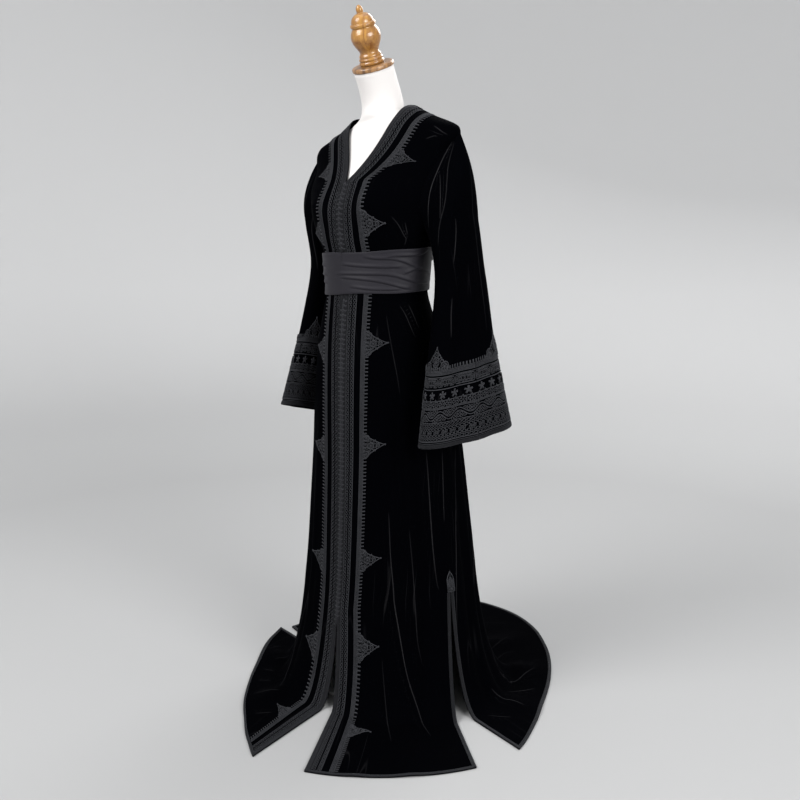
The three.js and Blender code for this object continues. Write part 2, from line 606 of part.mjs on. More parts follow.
// ---- dress form ----
function formTorso() {
  const angles = Array.from({ length: FORM.columns }, (_, j) => (j / FORM.columns) * 360);
  const rings = [FORM.bottom, ...FORM_ROWS].map((z) => {
    const share = clamp((z - FORM_GAP.from) / (FORM_GAP.to - FORM_GAP.from), 0, 1);
    const gap = FORM_GAP.body + (FORM_GAP.shoulder - FORM_GAP.body) * share;
    return angles.map((angle) => {
      const p = offset(gownNode(z, angle), -gap);
      return p.setX(clamp(p.x, -FORM.armplate, FORM.armplate));
    });
  });
  for (const { z, y, half, deep, tilt, droop } of NECK)
    rings.push(
      angles.map((angle) => {
        const [x, back] = [half * Math.sin(angle * deg), -deep * Math.cos(angle * deg)];
        const p = V(x, y + back * Math.cos(tilt * deg), z + back * Math.sin(tilt * deg));
        return p.lerp(drooped(p), droop);
      }),
    );
  return stack(rings);
}
add("form_torso", formTorso(), jersey);

// The cap and finial stand on the neck, square to it.
const neckTop = NECK.at(-1);
const head = new THREE.Group();
head.position.set(0, neckTop.y, neckTop.z);
head.rotation.x = (90 + neckTop.tilt) * deg;
caftan.add(head);
const cap = add("form_cap", new THREE.CylinderGeometry(CAP.radius, CAP.radius, CAP.thick, 32), walnut, head);
cap.position.y = 0.3 + CAP.thick / 2;
const finialShape = FINIAL.map(({ r, h }) => new THREE.Vector2(r, h));
const finial = add("form_finial", new THREE.LatheGeometry(finialShape, 20), oak, head);
finial.position.y = 0.3 + CAP.thick + 0.3;

// The stand is hidden by the skirt, so it is a plain pole on a round foot.
function upright(name, points, sides, finish, z) {
  const shape = points.map(([r, h]) => new THREE.Vector2(r, h));
  const mesh = add(name, new THREE.LatheGeometry(shape, sides), finish);
  mesh.rotation.x = 90 * deg;
  mesh.position.z = z;
}
const { base, base_high: foot, pole } = FORM;
const footShape = [[0, 0], [base, 0], [base, 5], [base - 12, 9], [pole + 9, foot], [0, foot]];
upright("form_base", footShape, 28, steel, 0);
const poleTop = FORM.bottom - foot - 1.6;
upright("form_pole", [[0, 0], [pole, 0], [pole, poleTop], [0, poleTop]], 20, steel, foot + 0.3);

export default caftan;
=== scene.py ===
# %% [markdown]
# # A velvet caftan on a dress form
#
# The garment is cut from velvet, bound in flat braid, fastened with a row of tiny cord knots and worked with
# cord embroidery. The construction arrives as a fixed frame of plain solids. Here each cloth piece is made again
# as a fine shell on the same surface, and the braid, knots and embroidery are laid on it.

# %% Load the frame
import json
import math

import bpy
import numpy as np
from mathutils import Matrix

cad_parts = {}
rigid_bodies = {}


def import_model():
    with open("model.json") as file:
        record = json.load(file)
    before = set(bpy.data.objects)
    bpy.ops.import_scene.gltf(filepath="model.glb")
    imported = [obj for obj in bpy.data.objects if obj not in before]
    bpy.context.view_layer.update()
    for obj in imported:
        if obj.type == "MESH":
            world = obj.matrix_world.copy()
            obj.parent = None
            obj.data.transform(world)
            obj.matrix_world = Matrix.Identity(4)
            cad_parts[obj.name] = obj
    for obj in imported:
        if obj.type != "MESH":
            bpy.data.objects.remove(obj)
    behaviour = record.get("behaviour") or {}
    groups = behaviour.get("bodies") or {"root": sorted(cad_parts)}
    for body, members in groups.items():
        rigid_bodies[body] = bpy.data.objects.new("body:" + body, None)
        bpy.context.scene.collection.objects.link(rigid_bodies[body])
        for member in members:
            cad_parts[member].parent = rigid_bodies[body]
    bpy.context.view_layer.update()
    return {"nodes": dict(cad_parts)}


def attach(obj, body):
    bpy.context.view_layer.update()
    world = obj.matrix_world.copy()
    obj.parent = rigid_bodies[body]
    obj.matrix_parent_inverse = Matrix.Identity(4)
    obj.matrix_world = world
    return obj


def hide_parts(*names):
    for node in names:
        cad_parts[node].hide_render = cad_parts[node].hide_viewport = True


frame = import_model()
MM = 0.001  # the drafting below is in millimetres, as a pattern cutter's is
print("frame:", len(frame["nodes"]), "solids")

# %% [markdown]
# ## Camera
#
# The camera comes first, because every later choice is judged through it. It stands a few metres from the form at
# chest height, turned forty degrees towards the wearer's left.

# %% Camera
TURN, DISTANCE, EYE, PITCH = math.radians(40), 2.5, 1.2, math.radians(11)
ASIDE = 0.0607  # the view's axis passes this far beside the stand
SENSOR, FOCAL, PICTURE = 36, 1070, 800  # the sensor in millimetres, the focal length and the picture in pixels

right = np.array([math.cos(TURN), math.sin(TURN), 0])
eye = DISTANCE * np.array([math.sin(TURN), -math.cos(TURN), 0]) + ASIDE * right
camera = bpy.data.objects.new("Camera", bpy.data.cameras.new("Camera"))
bpy.context.scene.collection.objects.link(camera)
camera.location = (eye[0], eye[1], EYE)
camera.rotation_euler = (math.pi / 2 - PITCH, 0, TURN)
camera.data.sensor_width = SENSOR
camera.data.lens = SENSOR * FOCAL / PICTURE
camera.data.clip_end = 60
bpy.context.scene.camera = camera
bpy.context.scene.view_settings.view_transform = "Standard"
print("camera at", [round(v, 3) for v in camera.location])

# %% [markdown]
# ## Meshes from arrays
#
# Cloth is a grid of points, so numpy holds it, and one helper turns any points and faces into a mesh object.
# The other helpers close a grid into a thin wall or into a tube.

# %% A mesh from points and faces
def mesh_object(name, points, faces, material=None, uv=None):
    mesh = bpy.data.meshes.new(name)
    mesh.from_pydata((np.asarray(points) * MM).tolist(), [], [list(map(int, f)) for f in faces])
    if uv is not None:
        layer = mesh.uv_layers.new(name="UVMap")
        corners = np.zeros(len(mesh.loops), int)
        mesh.loops.foreach_get("vertex_index", corners)
        layer.data.foreach_set("uv", np.asarray(uv, float)[corners].ravel())
    mesh.polygons.foreach_set("use_smooth", [True] * len(mesh.polygons))
    mesh.update()
    made = bpy.data.objects.new(name, mesh)
    bpy.context.scene.collection.objects.link(made)
    if material:
        mesh.materials.append(material)
    return made


def unit(v):
    return v / np.maximum(np.linalg.norm(v, axis=-1, keepdims=True), 1e-9)


def grid_normals(grid, around=False):
    """Normals of a grid of points; a grid that closes on itself wraps along its columns."""
    down = np.gradient(grid, axis=0)
    if around:
        across = np.roll(grid, -1, axis=1) - np.roll(grid, 1, axis=1)
    else:
        across = np.gradient(grid, axis=1)
    return unit(np.cross(across, down))


def grid_faces(rows, columns, around=False):
    i, j = np.meshgrid(np.arange(rows - 1), np.arange(columns if around else columns - 1), indexing="ij")
    top, side = i * columns, (j + 1) % columns
    return np.stack([top + j, top + side, top + columns + side, top + columns + j], -1).reshape(-1, 4)


def rim_faces(loop, below):
    """Quads that join a border loop of the outer skin to the same loop of the inner skin."""
    nxt = np.roll(loop, -1)
    return np.stack([nxt, loop, loop + below, nxt + below], -1)


def walled(grid, normals, thick, around=False):
    """Points and faces of a closed wall whose outer skin is the grid."""
    rows, columns = grid.shape[:2]
    inner = grid - normals * thick
    inner[..., 2] = np.maximum(inner[..., 2], 0)
    points = np.concatenate([grid.reshape(-1, 3), inner.reshape(-1, 3)])
    below = rows * columns
    outer = grid_faces(rows, columns, around)
    probe = outer[len(outer) // 2]
    a, b, c = points[probe[0]], points[probe[1]], points[probe[2]]
    flip = np.dot(np.cross(b - a, c - a), normals.reshape(-1, 3)[probe[0]]) < 0
    index = np.arange(below).reshape(rows, columns)
    if around:
        rims = [rim_faces(index[0], below), rim_faces(index[-1][::-1], below)]
    else:
        border = np.concatenate([index[0], index[1:, -1], index[-1, -2::-1], index[-2:0:-1, 0]])
        rims = [rim_faces(border, below)]
    faces = np.concatenate([outer, outer[:, ::-1] + below, *rims])
    return points, faces[:, ::-1] if flip else faces


def tubed(lines):
    """A closed tube through lines of equal length that run side by side round its section, with its ends shut."""
    around, along = lines.shape[:2]
    points = lines.transpose(1, 0, 2).reshape(-1, 3)
    faces = [list(f) for f in grid_faces(along, around, True)]
    faces += [list(range(around))[::-1], [(along - 1) * around + k for k in range(around)]]
    middle = lines.mean(axis=0)[along // 2]
    q = faces[(along // 2) * around]
    a, b, c = points[q[0]], points[q[1]], points[q[2]]
    if np.dot(np.cross(b - a, c - a), a - middle) < 0:
        faces = [f[::-1] for f in faces]
    return points, faces


def ringed(grid):
    """Points and faces of a grid that closes on itself both ways, such as a band round a sleeve."""
    rows, columns = grid.shape[:2]
    faces = grid_faces(rows + 1, columns, True) % (rows * columns)
    points = grid.reshape(-1, 3)
    a, b, c, d = points[faces].transpose(1, 0, 2)
    outward = (np.cross(a, b) * c + np.cross(a, c) * d).sum() > 0
    return points, faces if outward else faces[:, ::-1]


def joined(parts):
    """Several sets of points and faces as one."""
    points, faces, start = [], [], 0
    for some, others in parts:
        points.append(some)
        faces += [[int(k) + start for k in f] for f in others]
        start += len(some)
    return np.concatenate(points), faces


def finished(piece, slot, *nodes):
    """Hides the solids that a piece stands for and seats it on the part's one body; slot is not used."""
    if nodes:
        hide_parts(*nodes)
    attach(piece, "root")
    print(f"{piece.name}: {sum(len(p.vertices) - 2 for p in piece.data.polygons)} triangles")
    return piece

# %% [markdown]
# ## Finishes
#
# Shader sums read best as ordinary sums, so a small class wraps a socket and lets Python's operators add the
# Math nodes. All other nodes come from one method that takes the node's type, its settings and its inputs.

# %% The shader helper
class Value:
    """A socket that can take part in a sum."""

    def __init__(self, finish, socket):
        self.finish, self.socket = finish, socket

    def op(self, operation, *others):
        inputs = dict(enumerate([self, *others]))
        return self.finish.node("ShaderNodeMath", {"operation": operation}, inputs)

    def __add__(self, other):
        return self.op("ADD", other)

    def __mul__(self, other):
        return self.op("MULTIPLY", other)

    def __sub__(self, other):
        return self.op("SUBTRACT", other)

    def __rsub__(self, other):
        return self.finish.node("ShaderNodeMath", {"operation": "SUBTRACT"}, {0: other, 1: self})

    __radd__, __rmul__ = __add__, __mul__


class Finish:
    """A material with one Principled shader."""

    def __init__(self, name, **fixed):
        self.material = bpy.data.materials.new(name)
        self.material.use_nodes = True
        self.tree = self.material.node_tree
        self.shader = self.tree.nodes["Principled BSDF"]
        for key, value in fixed.items():
            self.shader.inputs[key.replace("_", " ")].default_value = value

    def node(self, kind, settings=None, inputs=None, output=0):
        node = self.tree.nodes.new(kind)
        for key, value in (settings or {}).items():
            if key == "stops":
                ramp = node.color_ramp
                while len(ramp.elements) < len(value):
                    ramp.elements.new(0.5)
                for element, (at, shade) in zip(ramp.elements, value):
                    element.position, element.color = at, shade
            else:
                setattr(node, key, value)
        for key, value in (inputs or {}).items():
            self.put(node.inputs[key], value)
        return Value(self, node.outputs[output])

    def put(self, socket, value):
        if isinstance(value, Value):
            self.tree.links.new(value.socket, socket)
        else:
            socket.default_value = value

    def set(self, name, value):
        self.put(self.shader.inputs[name], value)

    def coords(self, which="Object"):
        return self.node("ShaderNodeTexCoord", output=which)

    def stretched(self, scale, which="Object"):
        return self.node("ShaderNodeMapping", inputs={"Vector": self.coords(which), "Scale": scale})

    def noise(self, vector, scale, detail=2.0, roughness=0.5, distortion=0.0):
        inputs = {"Vector": vector, "Scale": scale, "Detail": detail}
        inputs |= {"Roughness": roughness, "Distortion": distortion}
        return self.node("ShaderNodeTexNoise", inputs=inputs)

    def ramp(self, factor, *stops):
        return self.node("ShaderNodeValToRGB", {"stops": stops}, {"Fac": factor})

    def mixed(self, factor, first, second):
        return self.node("ShaderNodeMix", {"data_type": "RGBA"}, {0: factor, 6: first, 7: second}, output=2)

    def bump(self, height, distance, strength=1.0):
        inputs = {"Height": height, "Distance": distance, "Strength": strength}
        self.set("Normal", self.node("ShaderNodeBump", inputs=inputs))


def grey(level):
    return (level, level, level, 1)

# %% [markdown]
# ## Velvet
#
# Silk velvet is almost black where the pile faces the eye and shows a cool bloom where it turns away, which is
# what the sheen layer gives. Along each crease a thin pale line is painted into the base colour, a painted sheen
# for the light on the bent pile. Most come from the listed creases, and a few faint ones from a noise's middle value.

# %% Velvet
COOL = (0.7, 0.72, 0.8, 1)  # the tint of the sheen on black pile and thread
LINE_WIDTH = 1.7  # millimetres from a pressed line to where its pale mark ends


def velvet_finish():
    f = Finish("velvet", Roughness=0.8, Specular_IOR_Level=0.003,
               Sheen_Weight=0.004, Sheen_Roughness=0.3, Sheen_Tint=COOL)
    # black is the pile's own colour; the pale one is a painted sheen for the crease lines
    black, lit = (0.0004, 0.00045, 0.0008, 1), (0.019, 0.0188, 0.02, 1)
    cloth = f.stretched((1, 1, 1), "UV")
    lengthways = f.noise(f.stretched((24, 1.6, 1), "UV"), 1.0, 1, 0.5, 0.1)
    patchy = f.noise(cloth, 5, 1)
    # painted sheen: faint pale lines where a noise passes its middle value
    near_middle = (1 - (lengthways - 0.5).op("ABSOLUTE") * 110).op("MAXIMUM", 0.0)
    painted_sheen_veins = near_middle * f.ramp(patchy, (0.54, grey(0)), (0.66, grey(1)))
    way = f.node("ShaderNodeAttribute", {"attribute_name": "crease_way"}, output="Fac")
    near = f.node("ShaderNodeAttribute", {"attribute_name": "crease_near"}, output="Fac")
    # painted sheen along each crease line, fading away from it
    pressed = (1 - way.op("ABSOLUTE") * (1 / LINE_WIDTH)).op("MAXIMUM", 0.0) * near
    broken = 0.45 + 0.75 * f.noise(cloth, 60, 2)
    pale = (painted_sheen_veins * 0.3 + pressed * broken).op("MINIMUM", 1.0)
    pile = f.noise(cloth, 900, 2)
    # the base colour mixes painted sheen lines into the black pile
    f.set("Base Color", f.mixed(pale, black, lit))
    f.bump(pile * 0.25 + painted_sheen_veins * 0.5 + pressed + f.noise(cloth, 30, 3) * 0.8, 0.0012, 0.55)
    return f.material


velvet = velvet_finish()
print("velvet ready")

# %% [markdown]
# ## Braid, thread and satin
#
# The flat braid is plaited, so its bump is a chevron of two slanting waves that follow the strip's own UV map.
# The embroidery cord is twisted, and the belt is a fine satin with a soft, broken shine.

# %% Braid, thread and satin
def woven(f, across, along):
    """A chevron of threads in UV: x runs across the strip and y along it, both in metres."""
    parts = f.node("ShaderNodeSeparateXYZ", inputs={0: f.coords("UV")})
    x = Value(f, parts.socket.node.outputs["X"])
    y = Value(f, parts.socket.node.outputs["Y"])
    slant = (x * across).op("PINGPONG", 1.0)
    return ((y * along + slant * 1.6) * (2 * math.pi)).op("SINE") * 0.5 + 0.5


def braid_finish():
    f = Finish("braid", Roughness=0.7, Specular_IOR_Level=0.07,
               Sheen_Weight=0.05, Sheen_Roughness=0.4, Sheen_Tint=COOL)
    dark, pale = (0.0024, 0.0025, 0.0032, 1), (0.0118, 0.0121, 0.0139, 1)
    threads = woven(f, 330, 420)
    blotch = f.noise(f.coords(), 70, 3)
    f.set("Base Color", f.mixed(threads * 0.7 + blotch * 0.3, dark, pale))
    f.bump(threads, 0.0006, 0.8)
    return f.material


def thread_finish():
    f = Finish("thread", Roughness=0.6, Specular_IOR_Level=0.09,
               Sheen_Weight=0.05, Sheen_Roughness=0.4, Sheen_Tint=COOL)
    dark, pale = (0.0058, 0.006, 0.0072, 1), (0.036, 0.037, 0.0415, 1)
    twist = f.noise(f.coords(), 420, 2)
    blotch = f.noise(f.coords(), 38, 3)
    f.set("Base Color", f.mixed(twist * 0.6 + blotch * 0.4, dark, pale))
    f.bump(twist, 0.0005, 0.7)
    return f.material


def satin_finish():
    f = Finish("satin", Specular_IOR_Level=0.1,
               Sheen_Weight=0.04, Sheen_Roughness=0.35, Sheen_Tint=(0.75, 0.74, 0.85, 1))
    dark, pale = (0.0098, 0.0093, 0.012, 1), (0.017, 0.016, 0.02, 1)
    weave = f.noise(f.stretched((160, 1400, 1), "UV"), 1.0, 1)
    slub = f.noise(f.stretched((7, 90, 1), "UV"), 1.0, 3, 0.6, 0.4)
    f.set("Base Color", f.mixed(slub, dark, pale))
    f.set("Roughness", 0.44 + slub * 0.2)
    f.bump(weave * 0.35 + slub * 0.65, 0.0008, 0.5)
    return f.material


braid, thread, satin = braid_finish(), thread_finish(), satin_finish()
print("braid, thread and satin ready")

# %% [markdown]
# ## Cover, wood and metal
#
# The form wears a stretched white cover with a faint knit. Its cap and finial are turned wood, so the grain runs
# up the axis, under varnish.

# %% Cover, wood and metal
def cover_finish():
    f = Finish("form_cover", Roughness=0.75, Sheen_Weight=0.05)
    knit = f.noise(f.coords(), 1500, 1)
    soft = f.noise(f.coords(), 14, 2)
    f.set("Base Color", f.mixed(soft, (0.54, 0.52, 0.507, 1), (0.575, 0.554, 0.54, 1)))
    f.bump(knit * 0.5 + soft * 0.5, 0.0004, 0.5)
    return f.material


def wood_finish(name, dark, pale, gloss):
    f = Finish(name, Coat_Weight=0.28, Coat_Roughness=0.16)
    grain = f.noise(f.stretched((60, 60, 9)), 1.0, 4, 0.62, 1.4)
    pores = f.noise(f.stretched((420, 420, 40)), 1.0, 2)
    tone = f.ramp(grain * 0.8 + pores * 0.2, (0.34, dark), (0.62, pale))
    f.set("Base Color", tone)
    f.set("Roughness", gloss + pores * 0.14)
    f.bump(grain * 0.5 + pores * 0.5, 0.0004, 0.4)
    return f.material


def metal_finish():
    f = Finish("stand", Metallic=0.1)
    orange_peel = f.noise(f.coords(), 260, 2)
    f.set("Base Color", f.mixed(orange_peel, (0.66, 0.66, 0.66, 1), (0.74, 0.74, 0.74, 1)))
    f.set("Roughness", 0.36 + orange_peel * 0.15)
    f.bump(orange_peel, 0.0003, 0.4)
    return f.material


cover, metal = cover_finish(), metal_finish()
oak = wood_finish("oak", (0.15, 0.052, 0.008, 1), (0.325, 0.16, 0.032, 1), 0.24)
walnut = wood_finish("walnut", (0.08, 0.034, 0.011, 1), (0.3, 0.155, 0.055, 1), 0.3)
print("cover, wood and metal ready")

# %% [markdown]
# ## The surface of the gown
#
# A gown on a form is a stack of ovals. A short table gives each oval's half width and how far it reaches to the
# front and back, and a smooth curve through the rows gives every height between. The seams are lines drawn on
# that surface, and each cloth panel is the patch between its seams.

# %% Tables of the gown
def table(columns, rows):
    return dict(zip(columns.split(), np.array(rows, float).T))


def along(rows, by, column, at):
    """A smooth curve through a table: the value of one column at a place in another."""
    x, y = rows[by], rows[column]
    slope = np.empty_like(y)
    slope[1:-1] = (y[2:] - y[:-2]) / (x[2:] - x[:-2])
    slope[0], slope[-1] = (y[1] - y[0]) / (x[1] - x[0]), (y[-1] - y[-2]) / (x[-1] - x[-2])
    at = np.asarray(at, float)
    i = np.clip(np.searchsorted(x, at, side="right") - 1, 0, len(x) - 2)
    span = x[i + 1] - x[i]
    t = (at - x[i]) / span
    s = np.clip(t, 0, 1)
    p, q, m, n = y[i], y[i + 1], slope[i] * span, slope[i + 1] * span
    inside = (2 * p - 2 * q + m + n) * s**3 + (3 * q - 3 * p - 2 * m - n) * s**2 + m * s + p
    return inside + (t - s) * np.where(t < 0, m, n)


BODY = table("z half left front back side", [
    (180, 249, 0, -141, 266, 62), (300, 228, 0, -128, 240, 57), (480, 209, 0, -119, 220, 51),
    (600, 196, 0, -115, 206, 47), (700, 185, 0, -114, 190, 39), (800, 169, 3, -112, 165, 28),
    (870, 151, 8, -109, 142, 14), (930, 130, 16, -104, 117, 3), (975, 117, 20, -100, 104, 0),
    (1020, 120, 22, -101, 103, -3), (1068, 126, 24, -104, 105, -3), (1100, 145, 18, -111, 106, 0),
    (1165, 167, 8, -112, 109, 8), (1224, 186, 0, -94, 108, 15), (1280, 200, 0, -69, 105, 25),
    (1339, 210, 0, -41, 98, 40), (1370, 132, 0, -23, 94, 42), (1392, 80, 0, -12, 90, 42),
])
FOLDS = table("at top deep wide", [
    (27, 620, 7, 5), (44, 900, 9, 5), (58, 780, 11, 5), (96, 800, 10, 5), (112, 930, 12, 6), (131, 700, 9, 5),
    (150, 930, 13, 6), (172, 860, 10, 5), (193, 930, 13, 6), (214, 760, 10, 5), (236, 900, 12, 6), (256, 720, 9, 5),
    (304, 800, 10, 5), (322, 640, 8, 5),
])
HEMS = {
    "front_left": table("u bearing reach", [(0, 22, 458), (0.5, 45, 461), (1, 68, 476)]),
    "back": table("u bearing reach", [
        (0, 83, 472), (0.09, 98, 438), (0.18, 115, 424), (0.29, 135, 447), (0.42, 155, 500), (0.56, 180, 582),
        (0.68, 200, 572), (0.8, 222, 500), (0.92, 244, 428), (1, 256.5, 408),
    ]),
    "front_right": table("u bearing reach", [
        (0, 5.5, 455), (0.12, -3, 412), (0.28, -19, 356), (0.5, -45, 318), (0.7, -70, 330), (0.92, -93, 396),
        (1, -99.8, 423),
    ]),
}
RIDGES = {
    "front_left": [(0.3, 7, 0.06), (0.62, 9, 0.07)],
    "back": [(0.14, 9, 0.03), (0.3, 12, 0.035), (0.46, 10, 0.03), (0.62, 12, 0.035), (0.79, 9, 0.03)],
    "front_right": [(0.35, 8, 0.06), (0.75, 9, 0.06)],
}
VELVET, UNDERARM, SHOULDER_TIP, V_BOTTOM = 2, 1100, 1339, 1232
NECK_Z, NECK_X = 1392, 80
BELT_TOP, BELT_BOTTOM = 1068, 972
BUST_OUT, BUST_X, BUST_WIDE, BUST_Z, BUST_HIGH = 16, 84, 46, 1175, 48
FLUTE_RISE = 420  # a flute grows to its full depth over this height
DROOP, DROOP_IN = 40, 17  # how far the right shoulder hangs, and how far it moves towards the neck
BACK_NECK = 6 / 20  # the share of the back's top edge on each side of the neck
DROP_FRONT, DROP_SIDE, DROP_BACK, DROP_START, FALL = 215, 300, 320, 30, 0.34
NECK_ROWS, CHEST_ROWS = 6, 4  # the construction's rows beside the neckline and below it
UPPER = NECK_ROWS + CHEST_ROWS
print("tables read:", len(BODY["z"]), "ovals,", len(FOLDS["at"]), "flutes")

# %% The gown by height and angle
def turn_to(a, b):
    """The signed angle from b to a, in degrees."""
    return (np.asarray(a) - b + 180) % 360 - 180


def smooth(t):
    t = np.clip(t, 0, 1)
    return t * t * (3 - 2 * t)


def drooped(p):
    """The right shoulder hangs lower than the left one, and a little nearer the neck."""
    x, y, z = np.moveaxis(p, -1, 0)
    drop = DROOP * smooth((110 - x) / 320) * smooth((z - UNDERARM) / 210)
    return np.stack([x + DROOP_IN * smooth(-x / 150) * smooth((z - 1215) / 85), y, z - drop], -1)


def gown(z, angle):
    """The outer face: angle 0 is the front centre, 90 the wearer's left side."""
    z, angle = np.broadcast_arrays(np.asarray(z, float), np.asarray(angle, float))
    s, c = np.sin(np.radians(angle)), np.cos(np.radians(angle))
    side = along(BODY, "z", "side", z)
    depth = np.where(c > 0, side - along(BODY, "z", "front", z), along(BODY, "z", "back", z) - side)
    x = (along(BODY, "z", "half", z) + np.where(s > 0, along(BODY, "z", "left", z), 0)) * s
    bust = BUST_OUT * np.exp(-(((np.abs(x) - BUST_X) / BUST_WIDE) ** 2) - ((z - BUST_Z) / BUST_HIGH) ** 2)
    bust = np.where(c > 0, bust, 0)
    fold = np.zeros_like(z)
    for at, top, deep, wide in zip(*FOLDS.values()):
        fold = fold + deep * np.clip((top - z) / FLUTE_RISE, 0, 1) * np.exp(-((turn_to(angle, at) / wide) ** 2))
    return drooped(np.stack([x - fold * s, side - depth * c - bust * c + fold * c, z], -1))


def gown_normal(z, angle):
    across = gown(z, np.asarray(angle) + 0.05) - gown(z, np.asarray(angle) - 0.05)
    up = gown(np.asarray(z) + 0.05, angle) - gown(np.asarray(z) - 0.05, angle)
    return unit(np.cross(across, up))


def neckline(t, on_right):
    """Height and angle of the V neck's edge, from its foot (0) to the neck point (1)."""
    z = V_BOTTOM + (NECK_Z - V_BOTTOM) * t
    out = t**1.5 if on_right else math.sin(t * math.pi / 2) ** 0.75
    sine = NECK_X * out / along(BODY, "z", "half", z)
    return np.array([z, np.degrees(np.arcsin(np.minimum(sine, 1)))])


def armhole(t):
    """Height and angle of the armhole seam, from the underarm (0) to the shoulder tip (1)."""
    return np.array([UNDERARM + (SHOULDER_TIP - UNDERARM) * t, 90 - 23 * np.sin(np.pi * t**0.8)])


def side_seam(z, on_right):
    """The angle of the side seam at a height."""
    return (82 if on_right else 76) + (8 if on_right else 14) * np.clip((z - 300) / 700, 0, 1)


def patch(top, bottom, left, right_edge, u, v):
    """A surface patch between four seam lines, as heights and angles."""
    edges = (1 - v) * top(u) + v * bottom(u) + (1 - u) * left(v)[:, None] + u * right_edge(v)[:, None]
    ends = [(1 - u) * (1 - v) * top(0.0)[:, None], u * (1 - v) * top(1.0)[:, None]]
    ends += [(1 - u) * v * bottom(0.0)[:, None], u * v * bottom(1.0)[:, None]]
    return edges - sum(ends)


def front_edge(v, on_right):
    row = v ** (1 / 1.5) * UPPER
    if row <= NECK_ROWS:
        return neckline(math.cos(row / NECK_ROWS * math.pi / 2), on_right)
    return np.array([V_BOTTOM - (row - NECK_ROWS) / CHEST_ROWS * (V_BOTTOM - UNDERARM), 0])

# %% [markdown]
# ## Panels
#
# A panel's rows run from the shoulder seam down to the underarm, on to the height where the cloth starts to
# turn outwards, round that turn, and flat on the floor to the hem. Each row is measured and divided again by
# true distance, so that a braid or a band keeps its width all the way down.

# %% Rows of a panel
def upper_row(name, share):
    """A function of u for a row between the shoulder seam (0) and the underarm (1)."""
    v = share**1.5
    if name == "back":
        def top(u):
            edge = np.minimum(u, 1 - u)
            height = SHOULDER_TIP + (NECK_Z - SHOULDER_TIP) * np.minimum(edge / BACK_NECK, 1)
            return np.array([height, 90 + 180 * np.clip((u - BACK_NECK) / (1 - 2 * BACK_NECK), 0, 1)])

        def bottom(u):
            return np.array([UNDERARM + 0 * u, 90 + 180 * u])

        def left(w):
            return np.array([armhole(1 - w)[0], 180 - armhole(1 - w)[1]])

        def far(w):
            return np.array([armhole(1 - w)[0], 180 + armhole(1 - w)[1]])

        return lambda u: gown(*patch(top, bottom, left, far, u, v))
    sign = -1 if name == "front_right" else 1

    def shoulder(u):
        return np.array([NECK_Z + (SHOULDER_TIP - NECK_Z) * u, 90 + 0 * u])

    def underarm(u):
        return np.array([UNDERARM + 0 * u, 90 * u])

    def row(u):
        z, angle = patch(shoulder, underarm, lambda w: front_edge(w, sign < 0), lambda w: armhole(1 - w), u, v)
        return gown(z, sign * np.minimum(angle, 90))

    return row


def angle_at(name, u, z):
    if name == "back":
        return side_seam(z, False) * (1 - u) + (360 - side_seam(z, True)) * u
    on_right = name == "front_right"
    return (-1 if on_right else 1) * u * side_seam(z, on_right)


def drop_at(name, u):
    if name == "back":
        return DROP_SIDE + (DROP_BACK - DROP_SIDE) * np.sin(np.pi * u)
    return DROP_FRONT + (DROP_SIDE - DROP_FRONT) * np.maximum(u, 0) ** 0.7


def skirt_row(name, share):
    def row(u):
        z = UNDERARM + (drop_at(name, u) - UNDERARM) * share
        return gown(z, angle_at(name, u, z))

    return row


def spread_row(name, w):
    """The turn outwards, w from 0 to 1, and the spread on the floor, w from 1 to 2."""

    def row(u):
        drop = drop_at(name, u)
        start = gown(drop, angle_at(name, u, drop))
        hem = HEMS[name]
        bearing = np.radians(along(hem, "u", "bearing", u))
        reach = along(hem, "u", "reach", u)
        way = np.stack([reach * np.sin(bearing) - start[:, 0], -reach * np.cos(bearing) - start[:, 1], 0 * u], -1)
        length = np.linalg.norm(way, axis=-1)
        fall = np.minimum(FALL * start[:, 2], 0.55 * length)
        first = math.radians(DROP_START)
        theta = math.radians(DROP_START + (90 - DROP_START) * min(w, 1))
        gone = (math.cos(first) - math.cos(theta)) / math.cos(first)
        sunk = (math.sin(theta) - math.sin(first)) / (1 - math.sin(first))
        out = fall * gone + (length - fall) * max(w - 1, 0)
        lying = min(max((w - 0.5) / 0.6, 0), 1) * min(max((2 - w) / 0.7, 0.25), 1)
        ridge = sum(high * np.exp(-(((u - at) / wide) ** 2)) for at, high, wide in RIDGES[name])
        place = start + unit(way) * out[:, None]
        place[:, 2] = VELVET + (start[:, 2] - VELVET) * (1 - sunk) + ridge * lying
        return place

    return row


def panel_rows(name):
    """Every row of a panel as a function, with its place: 0 shoulder, 1 underarm, 2 turn, 3 floor, 4 hem."""
    rows = [(s, upper_row(name, s)) for s in np.linspace(0, 1, 52)]
    rows += [(1 + s, skirt_row(name, s)) for s in np.linspace(0, 1, 96)[1:]]
    rows += [(2 + w, spread_row(name, w)) for w in np.linspace(0, 2, 74)[1:]]
    return rows

